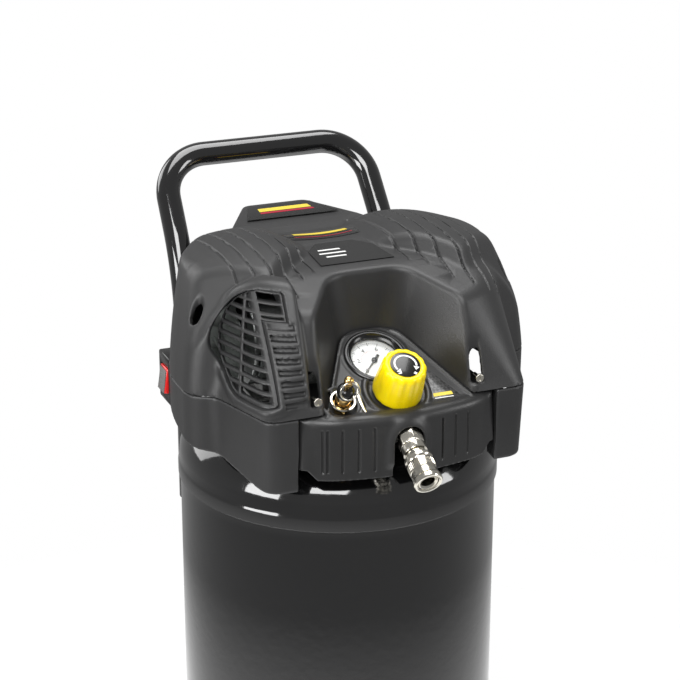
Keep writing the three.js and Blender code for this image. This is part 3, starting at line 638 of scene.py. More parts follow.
def roofField(x, y, z):
    ax = np.abs(x)
    outer = np.maximum(ax - 68, 0)
    inner = np.maximum(68 - ax, 0)
    top = coverSize["humpTop"] - 0.0035 * outer ** 2 - 0.010 * inner ** 2 - 0.0016 * (y + 10) ** 2
    prow = 1.12 * smoothMax(84 - ax, ax - 90, 12)  # the step runs back on both sides of its foremost point
    step = (prow - coverSize["humpFront"] - y + 0.9 * (z - 212)) / 1.75
    rear = (y - coverSize["humpBack"] + 0.8 * (z - 204)) / 1.28
    humps = smoothMax(smoothMax((z - top) / 1.05, step, 5), rear, 15)
    return smoothMin(z - deckHeight(x, y), humps, 3)


def rearBlockField(x, y, z):
    ax = np.abs(x)
    climb = z - coverSize["low"]
    flank = 0.882 * (ax - 34) + 0.471 * (y - 164) + 0.06 * climb
    slope = z - 196 - 0.16 * np.minimum(y - 70, 31)
    return bulk([y - 164 + 0.05 * climb, flank, slope, 60 - y, z - coverSize["blockTop"]], 5)


# s runs across the corner and z up
archSize = {"s": 16.0, "z": 160.0, "halfWidth": 52.0, "halfHeight": 47.0, "low": 119.0, "hood": 6.5,
            "proud": 3.2, "pitch": 8.3, "slot": 5.5, "firstSlot": 122.6, "rib": 3.4, "blindPitch": 8.3,
            "blindSlot": 4.6}


def archField(x, y, z):  # the window at the left front corner, looking square at the corner
    s = 0.6 * x - 0.8 * y
    across = (s - archSize["s"]) / archSize["halfWidth"]
    up = (z - archSize["z"]) / archSize["halfHeight"]
    oval = (np.sqrt(across ** 2 + up ** 2) - 1) * archSize["halfHeight"]
    diagonal = -0.694 * (s + 36) - 0.72 * (z - 149)
    return smoothMax(smoothMax(oval, diagonal, 6), archSize["low"] - z, 6)


def windowField(x, y, z):  # the arch without its right side, where the blind recesses are
    right = np.maximum(x + 87, np.minimum(x + 103.5, 183 - z))
    return smoothMax(archField(x, y, z), right, 2)


def hoodField(x, y, z):  # the raised surround of the arch
    depth = -0.8 * x - 0.6 * y
    hood = smoothMax(archField(x, y, z) - archSize["hood"], noseField(x, y, z) - archSize["proud"], 6)
    return smoothMax(smoothMax(hood, 112 - depth, 4), x + 77, 5)


def recessField(x, y, z):  # the hollow above the console, a funnel open to the front
    ax = np.abs(x)
    funnel = 0.823 * (ax - 39) + 0.568 * (y + 73) + 0.16 * (195 - z)
    return smoothMax(smoothMax(y + coverSize["recessBack"], funnel, 14), ax - coverSize["recess"], 4)


def coverBody(x, y, z):
    body = smoothMax(wallField(x, y, z), roofField(x, y, z), 7)
    return smoothMin(body, rearBlockField(x, y, z), 3)


def pocketField(x, y, z):
    screw = np.sqrt((np.abs(x) - 72) ** 2 + (np.maximum(z - 128, 0) * 0.10) ** 2) - 4.7
    screwPocket = bulk([screw, 117.5 - z, z - 169, y + 124, -y - 150], 2)
    side = np.sqrt((y + 38) ** 2 + (np.abs(x) - 141) ** 2 + np.minimum(z - 170, 0) ** 2) - 6.0
    sidePocket = np.maximum(side, z - 212)
    return np.minimum(screwPocket, sidePocket)


def grooved(body, x, y, z):
    ax = np.abs(x)
    cut = np.full_like(body, 99)
    for centre, start in zip(coverSize["grooves"], coverSize["grooveFronts"]):
        across = np.abs(ax - centre) - coverSize["grooveWidth"] / 2
        cut = np.minimum(cut, np.maximum(across, np.maximum(start - y, y - 86)))
    cut = np.maximum(cut, -(body + coverSize["grooveDepth"]))
    cut = np.maximum(cut, 168 - z)
    return smoothMax(body, -cut, 0.7)


def upperCoverField(x, y, z):
    plain = coverBody(x, y, z)
    recess = recessField(x, y, z)
    hood = hoodField(x, y, z)
    hollow = smoothMax(plain, -recess, 4) + coverSize["wall"]
    body = smoothMin(grooved(plain, x, y, z), hood, 3)
    badge = bulk([np.abs(x) - 34.2 + 0.09 * (y + 46), -y - 47.5, y - 12, -(plain + 0.7)], 0)
    body = smoothMax(body, -badge, 0.8)
    body = smoothMax(body, -pocketField(x, y, z), 1.5)
    body = smoothMax(body, -blindField(x, y, z), 0.8)
    body = smoothMax(body, -recess, 4)
    shell = np.maximum(body, -hollow)
    window = np.maximum(windowField(x, y, z), 100 + 0.8 * x + 0.6 * y)
    shell = smoothMax(shell, -window, 0.8)
    switch = boxField(x, y, z, (-170, 6, 100), (-123, 38, 120.3))
    return bulk([shell, -switch, 110.2 - z], 0.6)


def blindField(x, y, z):  # a column of shallow recesses beside the window
    level = z - 122.4
    row = level - archSize["blindPitch"] * np.clip(np.round(level / archSize["blindPitch"]), 0, 7)
    near = np.maximum(np.abs(row) - archSize["blindSlot"] / 2, np.abs(x + 90 + 0.05 * level) - 9.5)
    near = smoothMax(near, -1.5, 1.5)
    return np.maximum(near, np.maximum(-noseField(x, y, z) - 0.6, y + 60))


def grilleField(x, y, z):  # the slatted panel that stands behind the window
    nose = noseField(x, y, z)
    panel = smoothMax(nose + 0.8, -(nose + 5.0), 1.5)
    s = 0.6 * x - 0.8 * y
    level = z - archSize["firstSlot"] - archSize["slot"] / 2
    row = level - archSize["pitch"] * np.round(level / archSize["pitch"])
    rib = np.abs(s + 5.2 + 0.12 * (z - 168)) - archSize["rib"] / 2
    edge = windowField(x, y, z)
    slots = bulk([np.abs(row) - archSize["slot"] / 2, -rib, edge + 1.6, -(np.abs(x + 105.2) - 2.0)], 1.0)
    return smoothMax(smoothMax(panel, edge + 0.3, 0.6), -slots, 1.2)


def makeCovers():
    step = ((1.0, 2.0, 1.5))
    mesh = moulded("upper_cover", upperCoverField, (-161, -143, 107), (161, 168, 226), step, deckFrame)
    standIn("upper_cover_moulding", mesh, "cover_plastic", "upper_cover", smooth=60)
    step = ((0.8, 1.0, 0.8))
    mesh = moulded("side_grille", grilleField, (-142, -142, 114), (-82, -36, 212), step, deckFrame, 150000)
    standIn("side_grille_slats", mesh, "cover_plastic", "side_grille", smooth=60)


shroudSize = {"low": 45.5, "rise": 0.25, "high": 109.7, "frontGap": 88.6, "wall": 3.0, "archY": 50.0,
              "archRadius": 77.0}


def shroudField(x, y, z):
    ax = np.abs(x)
    wall = wallField(x, y, 110 + 0.12 * (110 - z))
    body = smoothMin(wall, bulk([y - 163, 0.882 * (ax - 34) + 0.471 * (y - 164), 60 - y], 4), 3)
    flange = bulk([body, -(body + 15), ax - 96], 0)
    shell = np.minimum(np.maximum(body, -(body + shroudSize["wall"])), flange)
    arch = np.sqrt((y - shroudSize["archY"]) ** 2 + (z + 20) ** 2) - shroudSize["archRadius"]
    arch = np.maximum(arch, 95 - ax)
    front = bulk([ax - shroudSize["frontGap"], y + 60], 0)
    rear = bulk([ax - 52, 90 - y, z - 74], 3)
    head = np.sqrt(x ** 2 + y ** 2) - 144
    tankRoom = np.maximum(head, z - 26)
    switch = boxField(x, y, z, (-170, 6, 75), (-123, 38, 120))
    low = shroudSize["low"] + shroudSize["rise"] * smoothMax(y + 122, 0, 14)
    form = bulk([shell, low - z, z - shroudSize["high"]], 1.2)
    for tool, k in ((arch, 1.2), (front, 0.3), (rear, 1.2), (tankRoom, 1.2), (switch, 0.5)):
        form = smoothMax(form, -tool, k)
    return form


# ---- console ----
consoleSize = {"plane": 164.0, "low": 55.5, "wall": 3.0, "tunnel": 152.5, "hood": 17.0, "bore": 13.3,
               "grooves": [-70.5, -66.5, -55.0, -41.5, -28.5, 32.0, 44.5, 57.0]}


def rangeFrom(x, u, item):  # distance on the console's slope from the middle of an item on it
    return np.sqrt((x - item["x"]) ** 2 + (u - item["y"]) ** 2)


def consoleField(x, y, z):  # u runs up the slope and w away from it
    u = 0.8660 * y + 0.5 * z
    w = -0.5 * y + 0.8660 * z
    ax = np.abs(x)
    flank = 0.2 * (ax - 25) - 0.98 * (y + 155.6)
    chamfer = 0.584 * (ax - 66) - 0.811 * (y + 147.8)
    panel = smoothMax(smoothMax(-y - 157.5, flank, 6), chamfer, 6)
    front = smoothMin(panel, -y - 137.6 + 0.1 * (z - 80), 4)
    slope = w - consoleSize["plane"]
    border = recessField(x, y, z)
    core = smoothMax(slope, np.maximum(ax - 69, border + 1.2), 1.5)
    wings = smoothMax(z - 109.7, ax - 88.2, 0.6)
    body = smoothMax(smoothMax(smoothMin(core, wings, 2), y + 64, 2), front, 9)
    hollow = body + consoleSize["wall"]
    throat = np.sqrt(x ** 2 + np.maximum(w - consoleSize["tunnel"], 0) ** 2)
    hood = bulk([throat - consoleSize["hood"], front - 3.5, u + 76, 66 - z], 5)
    body = smoothMin(body, hood, 6)
    rim = bulk([np.abs(border + 3.2) - 1.2, slope - 1.3, 158 - w, -y - 141, y + 70], 0.8)
    body = smoothMin(body, rim, 0.8)
    dialRange = rangeFrom(x, u, dialSize)
    knobRange = rangeFrom(x, u, knobSize)
    reliefRange = rangeFrom(x, u, reliefSize)
    body = smoothMin(body, bulk([dialRange - 30, slope - 0.8, 160 - w], 1.2), 1.5)
    ridge = np.sqrt((knobRange - 27.0) ** 2 + slope ** 2) - 2.6
    body = smoothMin(body, np.maximum(ridge, -y - 142), 1.5)
    step = np.sqrt((reliefRange - 17.0) ** 2 + slope ** 2) - 1.6
    body = smoothMin(body, np.maximum(step, 162 - w), 1.2)
    grooves = np.full_like(body, 99)
    for centre in consoleSize["grooves"]:
        grooves = np.minimum(grooves, np.abs(x - centre) - 0.8)
    grooves = bulk([grooves, -(front + 1.3), 62 - z, z - 100, y + 100], 0)
    body = smoothMax(body, -grooves, 0.7)
    form = np.maximum(body, -hollow)
    well = np.maximum(reliefRange - 12.5, 130 - w)
    seat = np.maximum(dialRange - 25.4, 120 - w)
    stem = np.maximum(knobRange - 12.4, 120 - w)
    lip = np.maximum(dialRange - 27.7, 164.7 - w)
    tunnel = bulk([throat - consoleSize["bore"], u + 77, y + 100], 0)
    for tool, k in ((well, 1.0), (seat, 0.5), (stem, 0.6), (lip, 0), (tunnel, 1.5)):
        form = smoothMax(form, -tool, k)
    head = np.maximum(np.sqrt(x ** 2 + y ** 2) - 145, z - 26)
    low = consoleSize["low"] + 9 * np.clip((ax - 74) / 8, 0, 1)
    return bulk([form, low - z, y + 66 - 12 * (z > 137), -head], 0.5)


def makeConsole():
    step = ((1.0, 1.2, 1.2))
    mesh = moulded("console", consoleField, (-92, -164, 49), (92, -50, 160), step, deckFrame)
    standIn("console_moulding", mesh, "console_plastic", "console_panel", 60)
    step = ((1.4, 1.8, 1.6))
    mesh = moulded("shroud", shroudField, (-161, -143, 40), (161, 168, 113), step, deckFrame, 150000)
    standIn("lower_shroud_moulding", mesh, "cover_plastic", "lower_shroud", smooth=60)


# ---- tank ----
tankSize = {"radius": 140.0, "wall": 2.5, "low": 125.0, "high": 540.0, "dish": 60.0, "skirt": 20.0,
            "band": 13.0, "lift": 2.0, "segments": 144}


def dish(radius, height, base, count=18):
    turns = [math.radians(90 * i / (count - 1)) for i in range(count)]
    return [(radius * math.cos(t), base + height * math.sin(t)) for t in turns]


def headRings():  # an open dish: its outer skin to the middle, then its inner skin back
    t = tankSize
    radius, wall, band, skirt = t["radius"], t["wall"], t["band"], t["skirt"]
    seat = radius + 0.3
    lip = radius + t["lift"]
    outer = [(seat, 0), (lip - 0.8, 0), (lip, 0.8), (lip, band - 2.5), (lip - 0.7, band - 0.6)]
    outer += [(radius + 0.6, band + 1.8)] + dish(radius + 0.6, t["dish"], skirt)[:-1]
    inside = radius - wall
    inner = dish(inside, t["dish"] - wall, skirt)[::-1][1:] + [(inside, band + 0.3), (seat, band + 0.3)]
    top = skirt + t["dish"]
    return outer + [(0, top), (0, top - wall)] + inner


def makeTank():
    t = tankSize
    low = t["low"] + t["skirt"] - t["band"]
    high = t["high"] - t["skirt"] + t["band"]
    inside = t["radius"] - t["wall"]
    outer = [(t["radius"], z) for z in np.linspace(low, high, 30)]
    mesh = turned("tank_shell", [(inside, low)] + outer + [(inside, high)], floorFrame, t["segments"])
    standIn("tank_shell_wall", mesh, "tank_paint", "tank_shell")
    lowest = Matrix.Translation((0, 0, (t["low"] + t["skirt"]) / 1000))
    flipped = lowest @ Matrix.Scale(-1, 4, (0, 0, 1)) @ floorFrame
    for node, place in (("top_head", deckFrame), ("bottom_head", flipped)):
        mesh = turned(node, headRings(), place, t["segments"])
        standIn(node + "_dish", mesh, "tank_paint", node)


# ---- handle, wheels, foot ----
handleSize = {"radius": 11.0, "spread": 101.0, "legY": 115.4, "legLow": -62.0, "bendZ": 148.0, "topX": 97.3,
              "topY": 193.0, "topZ": 242.7, "bend": 150.0, "corner": 42.0}


def makeHandle():
    h = handleSize
    leg = [(h["spread"], h["legY"], h["legLow"]), (h["spread"], h["legY"], h["bendZ"])]
    leg.append((h["topX"], h["topY"], h["topZ"]))
    route = [(-x, y, z) for x, y, z in leg] + leg[::-1]
    bends = [0, h["bend"], h["corner"], h["corner"], h["bend"], 0]
    mesh = tube("handle_tube", route, bends, h["radius"], deckFrame, "tank_paint", 40, 20)
    standIn("handle_tube_bent", mesh, "tank_paint", "handle_tube")
    for side in ("left", "right"):
        polished(f"handle_bracket_{side}", "tank_paint", 1.2)


wheelSize = {"radius": 75.0, "width": 24.0, "hub": 50.0, "x": 143.0, "y": 115.0, "lugs": 48, "spokes": 6,
             "bore": 7.3}


def wheelPlace(sign):
    w = wheelSize
    spot = Matrix.Translation((sign * w["x"] / 1000, w["y"] / 1000, w["radius"] / 1000))
    return spot @ Matrix.Rotation(sign * math.pi / 2, 4, "Y") @ Matrix.Scale(0.001, 4)


def hubField(x, y, z):
    r = np.sqrt(x ** 2 + y ** 2)
    turn = np.arctan2(y, x)
    rim = bulk([r - 49.9, 44 - r, np.abs(z) - 12], 1.5)
    boss = bulk([r - 18 + 0.2 * np.abs(z), np.abs(z) - 12], 2)
    web = bulk([r - 46, np.abs(z) - 3], 0.5)
    count = wheelSize["spokes"]
    swing = np.abs(np.mod(turn * count / (2 * math.pi), 1) - 0.5) * 2 * math.pi / count
    spokes = bulk([swing * r - 3.2, r - 46, np.abs(z) - 9 + 0.08 * r], 2)
    holes = np.sqrt((r - 32) ** 2 + (np.abs(math.pi / count - swing) * r) ** 2) - 7
    web = smoothMax(web, -holes, 1.5)
    form = smoothMin(smoothMin(smoothMin(rim, boss, 2), web, 2), spokes, 3)
    return smoothMax(form, wheelSize["bore"] - r, 1)


def makeWheels():
    w = wheelSize
    half = w["width"] / 2
    for side, sign in (("left", -1), ("right", 1)):
        place = wheelPlace(sign)
        crown = w["radius"] - 0.6
        profile = [(w["hub"] + 0.3, -half + 1)] + arc(w["radius"] - 8, -half + 7, 7, -90, -20)
        profile += [(crown, -5.5), (crown, 5.5)] + arc(w["radius"] - 8, half - 7, 7, 20, 90)
        tyre = turned("tyre", profile + [(w["hub"] + 0.3, half - 1)], place, 96)
        root, tip = w["radius"] - 2, w["radius"]
        lug = slab("lug", [(root, -1.9), (tip, -1.7), (tip, 1.7), (root, 1.9)], -7, 7, place, 0.3)
        centre = place @ Vector((0, 0, 0))
        lugs = repeated(lug, "tyre", w["lugs"], 2 * math.pi / w["lugs"], (1.0, 0.0, 0.0), centre)
        node = f"wheel_tyre_{side}"
        standIn(node + "_rubber", joined(node, [tyre, lugs]), "tyre", node)
        step = ((1.3, 1.3, 1.3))
        mesh = moulded("hub", hubField, (-52, -52, -14), (52, 52, 14), step, place, 60000)
        node = f"wheel_hub_{side}"
        standIn(node + "_moulding", mesh, "wheel_plastic", node, smooth=60)
        polished(f"axle_bracket_{side}", "tank_paint")
    polished("axle", "plain_steel")
    polished("front_foot_bracket", "tank_paint", 1.0)
    polished("foot_pad", "rubber", 1.5)


# ---- gauge ----
dialSize = {"x": -3.0, "y": -12.0, "radius": 25.0, "low": 141.5, "floor": 157.5, "lip": 165.1, "ticks": 51,
            "start": 225.0, "sweep": 270.0, "numbers": ["0", "2", "4", "6", "8", "10"], "needle": 18.0}


def consoleSpot(x, y, w=0.0):
    return consoleFrame @ Matrix.Translation((x, y, w))


def upwards(place):
    return (place.to_3x3() @ Vector((0, 0, 1))).normalized()


def lettering(text, size, place):  # numbers on the dial
    curve = bpy.data.curves.new("letters", "FONT")
    curve.body = text
    curve.size = size
    curve.align_x = "CENTER"
    curve.align_y = "CENTER"
    curve.extrude = 0.075
    thing = bpy.data.objects.new("letters", curve)
    bpy.context.scene.collection.objects.link(thing)
    mesh = evaluated(thing)
    mesh.transform(place)
    return mesh


def makeGauge():
    d = dialSize
    r, lip, floor = d["radius"], d["lip"], d["floor"]
    inside = r - 1.5
    place = consoleSpot(d["x"], d["y"])
    rings = [(0, d["low"]), (r - 1, d["low"]), (r, d["low"] + 1), (r, lip), (r + 2.2, lip)]
    rings += [(r + 2.3, lip + 0.5), (r + 1.6, lip + 1.3), (r + 0.4, lip + 1.7)]
    rings += [(inside + 0.5, lip + 1.4), (inside, lip + 0.6),
              (inside - 1.2, lip - 0.6), (inside - 2.6, lip - 1.4), (inside - 2.6, floor + 5.0),
              (inside, floor + 4.4), (inside, floor), (0, floor)]
    standIn("gauge_case_turned", turned("gauge_case", rings, place), "gauge_black", "gauge_case", smooth=45)
    face = floor + 0.3
    rim = inside - 0.3
    rings = [(1.6, face), (rim, face), (rim, face + 0.8), (inside - 0.5, face + 1), (1.6, face + 1)]
    standIn("gauge_dial_face", turned("dial", rings, place), "dial_white", "gauge_dial")
    makeDialMarks(place, face)
    point = d["needle"]
    side = [(-7.2, 1.3), (-2.2, 1.0), (-1.6, 0.8), (point - 0.2, 0.28)]
    blade = [(x, -y) for x, y in side] + [(point + 0.2, 0)] + side[::-1]
    boss = [(0, 0.2), (1.2, 0.2), (1.2, 1.9), (2.6, 1.95), (2.6, 3.0), (2.2, 3.3), (0, 3.3)]
    spun = place @ Matrix.Rotation(math.radians(d["start"]), 4, "Z")
    boss = turned("boss", [(radius, face + height) for radius, height in boss], spun, 32)
    needle = joined("needle", [slab("blade", blade, face + 2, face + 2.8, spun, 0.15), boss])
    standIn("gauge_needle_blade", needle, "gauge_black", "gauge_needle")
    lens = face + 4.0
    rim = inside - 2.4
    rings = [(0, lens), (rim, lens), (rim, lens + 0.6), (rim - 0.3, lens + 0.8), (0, lens + 1.0)]
    standIn("gauge_lens_window", turned("lens", rings, place), "lens_clear", "gauge_lens")


def makeDialMarks(place, face):
    d = dialSize
    start = math.radians(d["start"])
    turn = -math.radians(d["sweep"])
    middle = place @ Vector((0, 0, 0))
    marks = []
    for inner, width, count in ((18.0, 0.22, d["ticks"]), (16.8, 0.5, 11)):
        outline = [(inner, -width / 2), (20.0, -width / 2), (20.0, width / 2), (inner, width / 2)]
        spun = place @ Matrix.Rotation(start, 4, "Z")
        tick = slab("tick", outline, face + 1.02, face + 1.14, spun)
        marks.append(repeated(tick, "dial_ink", count, turn / (count - 1), upwards(consoleFrame), middle))
    for i, text in enumerate(d["numbers"]):
        angle = start + turn * i / (len(d["numbers"]) - 1)
        spot = place @ Matrix.Translation((13.4 * math.cos(angle), 13.4 * math.sin(angle), face + 1.08))
        marks.append(lettering(text, 5.6, spot))
    addPiece("gauge_dial_marks", joined("marks", marks), "dial_ink", "gauge_dial")
    scale = []
    outline = [(10.2, -0.12), (11.6, -0.12), (11.6, 0.12), (10.2, 0.12)]
    for i in range(31):
        spun = place @ Matrix.Rotation(start + turn * i / 30, 4, "Z")
        scale.append(slab("thin", outline, face + 1.02, face + 1.12, spun))
    addPiece("gauge_dial_inner_scale", joined("thin", scale), "print_red", "gauge_dial")


# ---- regulator ----
knobSize = {"x": 2.0, "y": -50.5, "low": 21.0, "top": 18.2, "height": 33.4, "base": 165.6, "lobes": 14,
            "lobe": 0.7, "round": 3.0, "label": 12.6}


def makeRegulator():
    k = knobSize
    base, low, corner, label = k["base"], k["low"], k["round"], k["label"]
    place = consoleSpot(k["x"], k["y"])
    top = base + k["height"]
    rings = [(0, base + 24), (8, base + 24), (13, base + 20.3), (13, base)]
    rings += [(low - 0.8, base, 0.1), (low, base + 0.8, 0.2)]
    for i in range(1, 13):
        share = i / 12
        height = base + 1 + (k["height"] - corner - 1) * share
        radius = low + (k["top"] + 0.5 - low) * share ** 1.2
        rings.append((radius, height, 0.15 + k["lobe"] * share ** 1.6))
    for angle in (25, 45, 65, 80, 90):
        turn = math.radians(angle)
        lobe = k["lobe"] * math.cos(turn) ** 0.7 if angle < 90 else 0
        rings.append((k["top"] - corner * (1 - math.cos(turn)), top - corner * (1 - math.sin(turn)), lobe))
    rings += [(label + 1.3, top), (label + 0.9, top - 0.2), (label + 0.7, top - 0.8), (0, top - 0.8)]
    mesh = turned("knob", rings, place, k["lobes"] * 16, k["lobes"], 3.0)
    standIn("regulator_knob_grip", mesh, "knob_yellow", "regulator_knob", smooth=50)
    rings = [(0, top - 0.5), (label, top - 0.5), (label, top + 0.1), (label - 0.4, top + 0.3), (0, top + 0.3)]
    standIn("regulator_knob_disc", turned("disc", rings, place), "label_black", "regulator_knob_label")
    makeKnobMarks(place, top + 0.32, top + 0.5)
    polished("regulator_body", "cast_aluminium", 0.6)
    polished("regulator_screw", "brass", 0.4)


def makeKnobMarks(place, low, high):  # a two-way arrow with a minus and a plus
    bow = 9.2
    marks = [arcBar(bow, 1.5, -18, 205, low, place)]
    for angle, way in ((-24, -1), (211, 1)):
        tip = Matrix.Rotation(math.radians(angle), 4, "Z") @ Matrix.Translation((bow, 0, 0))
        marks.append(slab("head", [(-2.4, 0), (2.4, 0), (0, way * 3.6)], low, high, place @ tip))
    bar = [(-1.5, -0.45), (1.5, -0.45), (1.5, 0.45), (-1.5, 0.45)]
    marks.append(slab("minus", bar, low, high, place @ Matrix.Translation((-7.6, -8.2, 0))))
    for angle, lift in ((0, 0), (math.pi / 2, 0.01)):
        spot = place @ Matrix.Translation((5.2, -10.2, lift)) @ Matrix.Rotation(angle, 4, "Z")
        marks.append(slab("plus", bar, low, high, spot))
    mesh = joined("arrow", marks)
    addPiece("regulator_knob_arrow", mesh, "print_white", "regulator_knob_label")


def arcBar(radius, width, start, end, low, place, high=0.18, count=40):
    turns = [math.radians(start + (end - start) * i / (count - 1)) for i in range(count)]
    outer = [((radius + width / 2) * math.cos(t), (radius + width / 2) * math.sin(t)) for t in turns]
    inner = [((radius - width / 2) * math.cos(t), (radius - width / 2) * math.sin(t)) for t in turns[::-1]]
    points = [Vector((x, y, h)) for h in (low, low + high) for x, y in outer + inner]
    total = 2 * count
    faces = []
    for i in range(count - 1):
        j = total - 1 - i
        faces += [[i + 1, i, j, j - 1], [total + i, total + i + 1, total + j - 1, total + j]]
    faces += [[i, (i + 1) % total, total + (i + 1) % total, total + i] for i in range(total)]
    return outward(meshOf("arc", [place @ p for p in points], faces))


# ---- safety valve ----
reliefSize = {"x": -48.0, "y": -54.7, "pivot": 194.0, "ring": 8.0, "wire": 0.8, "turns": 1.3125, "steps": 64}


def makeSafetyValve():
    v = reliefSize
    place = consoleSpot(v["x"], v["y"])
    polished("safety_valve_body", "brass", 0.5)
    rings = [(0, 176.0), (6.9, 176.0), (7.1, 176.6), (7.1, 183.0), (6.2, 184.4), (3.2, 185.6), (0, 185.6)]
    mesh = turned("cap", rings, place, 64)
    addPiece("safety_valve_cap", mesh, "gauge_black", "safety_valve_body")
    rings = [(9.2, 167.0), (10.8, 167.0), (11.1, 168.0), (10.6, 169.2), (9.2, 169.2), (8.8, 168.1)]
    mesh = turned("washer", rings, place, 64)
    addPiece("safety_valve_washer", mesh, "nickel", "safety_valve_body")
    # A bright nickel crescent beside the knob's ridge, wide at the top and thin at the bottom: a painted
    # highlight that stands for the glint on the rim of the knob's seat, not for a part of the valve
    bow = [(-29.0, -41.6, 1.2), (-31.4, -48.0, 1.6), (-32.2, -56.0, 1.4), (-32.0, -64.0, 1.1),
           (-30.6, -71.0, 0.8), (-28.8, -77.0, 0.5)]
    outline = [(x - half, y) for x, y, half in bow] + [(x + half, y) for x, y, half in bow[::-1]]
    crescent = slab("crescent", outline, 163.2, 165.6, consoleFrame, 0.5)
    addPiece("safety_valve_painted_highlight_crescent", crescent, "nickel", "safety_valve_body")
    rings = [(0, 170.5), (2.2, 170.5), (2.2, 188.5), (3.0, 189.2), (3.6, 190.4), (2.9, 191.6), (3.9, 193),
             (4.0, 194.4), (3.4, 196.2), (2.2, 197.4), (0, 197.9)]
    standIn("safety_valve_stem_turned", turned("stem", rings, place, 48), "brass", "safety_valve_stem")
    tilted = consoleSpot(v["x"], v["y"], v["pivot"]) @ Matrix.Rotation(-tilt, 4, "X")
    ring = v["ring"]
    coil = []
    for i in range(int(v["turns"] * v["steps"])):
        share = i / v["steps"]
        turn = 2 * math.pi * share
        sink = 1.8 * max(0, share - 0.62)  # the second turn hangs lower, and further out
        coil.append((ring * math.sin(turn), -2.4 * share - 0.4, ring * math.cos(turn) - ring - sink))
    mesh = tube("pull_ring", coil, [0] * len(coil), v["wire"], tilted, "nickel", 12, 2)
    standIn("safety_valve_pull_ring", mesh, "nickel", "safety_valve_ring")


# ---- outlet coupler ----
couplerSize = {"axis": 154.5, "root": -84.3, "tip": -139.2, "radius": 12.3, "bore": 6.0, "knurls": 40}


def makeCoupler():
    c = couplerSize
    place = consoleSpot(0, 0, c["axis"]) @ Matrix.Rotation(math.pi / 2, 4, "X")  # height now runs outwards
    polished("coupler_adapter", "nickel")
    root, tip, bore, r = -c["root"], -c["tip"], c["bore"], c["radius"]
    rings = [(bore, tip - 22), (bore, tip - 2.5), (bore + 1.2, tip - 1.2), (8.0, tip - 1), (8.5, tip - 1.5),
             (8.5, root + 24), (10.2, root + 23.4), (10.4, root + 22.8), (10.4, root + 17),
             (9.8, root + 16.4), (0, root + 16.4), (0, tip - 22)]
    standIn("coupler_body_turned", turned("body", rings, place, 64), "nickel", "coupler_body")
    rings = [(8.9, root + 28.2), (11.4, root + 28.2), (r - 0.4, root + 29), (r - 0.4, root + 31.6),
             (11.3, root + 32.4), (10.9, root + 33.4), (11.1, root + 34), (11.1, tip - 13),
             (10.5, tip - 12.4), (10.5, tip - 10.8), (11.2, tip - 10.2), (11.2, tip - 6.4),
             (r - 0.5, tip - 5.4), (r, tip - 4.6),
             (r, tip - 1.2), (r - 0.8, tip - 0.2), (10.2, tip), (8.9, tip - 0.8)]
    sleeve = turned("sleeve", rings, place)
    ridge = slab("ridge", [(10.8, -0.45), (11.5, 0), (10.8, 0.45)], root + 35, tip - 14, place)
    middle = place @ Vector((0, 0, 0))
    ridges = repeated(ridge, "nickel", c["knurls"], 2 * math.pi / c["knurls"], upwards(place), middle)
    mesh = joined("coupler_sleeve", [sleeve, ridges])
    standIn("coupler_sleeve_knurled", mesh, "nickel", "coupler_sleeve", smooth=30)


# ---- badges and labels ----
def plateOn(name, outline, height, lift, finish, thick):  # a thin plate bent to the cover's top
    cell = 3.0
    work = bmesh.new()
    work.faces.new([work.verts.new((x, y, 0)) for x, y in outline])
    for axis, values in enumerate(zip(*outline)):
        normal = [0, 0, 0]
        normal[axis] = 1
        for value in np.arange(min(values) + cell, max(values), cell):
            spot = [0, 0, 0]
            spot[axis] = value
            geometry = work.verts[:] + work.edges[:] + work.faces[:]
            bmesh.ops.bisect_plane(work, geom=geometry, plane_co=spot, plane_no=normal)
    bmesh.ops.recalc_face_normals(work, faces=work.faces)
    made = bmesh.ops.extrude_face_region(work, geom=work.faces[:])
    raised = {v for v in made["geom"] if isinstance(v, bmesh.types.BMVert)}
    for v in work.verts:
        base = float(height(np.array([v.co.x]), np.array([v.co.y]))[0])
        v.co.z = base + lift + (thick if v in raised else 0)
        v.co = deckFrame @ v.co
    mesh = bpy.data.meshes.new(name)
    work.to_mesh(mesh)
    work.free()
    addPiece(name, outward(mesh), finish, "upper_cover")


def blockTop(x, y):
    return np.full_like(x + y, coverSize["blockTop"])


def trapezoid(y0, half0, y1, half1):
    return [(-half0, y0), (half0, y0), (half1, y1), (-half1, y1)]


def makeBadges():
    badge = [(-33, -46), (33, -46), (30, -7), (17, 10.5), (-17, 10.5), (-30, -7)]
    plateOn("top_badge_plate", badge, deckHeight, -0.5, "label_black", 0.7)
    for i, width in enumerate((10, 12, 9)):
        y = -8 - 9 * i
        bar = [(x - 12, v) for x, v in trapezoid(y, width, y - 2.8, width)]
        plateOn(f"top_badge_line_{i + 1}", bar, deckHeight, 0.45, "print_white", 0.1)
    bands = [("banner", "label_black", 22, 50, 33, 0.1, 0.4),
             ("bar_yellow", "print_yellow", 34, 44, 25, 0.6, 0.1),
             ("bar_red", "print_red", 27, 32, 27, 0.6, 0.1)]
    for name, finish, y0, y1, half, lift, thick in bands:
        xs = np.linspace(-half, half, 13)
        bow = [(x, y0 + 6 * (abs(x) / half) ** 2) for x in xs]
        bow += [(x, y1 + 6 * (abs(x) / half) ** 2 - 4) for x in xs[::-1]]
        plateOn(f"top_{name}", bow, deckHeight, lift, finish, thick)
    plateOn("rear_label", trapezoid(108, 44, 146, 30), blockTop, -0.05, "label_black", 0.3)
    plateOn("rear_label_yellow", trapezoid(128, 25, 137, 24), blockTop, 0.3, "print_yellow", 0.1)
    plateOn("rear_label_red", trapezoid(122, 26, 126, 25), blockTop, 0.3, "print_red", 0.1)


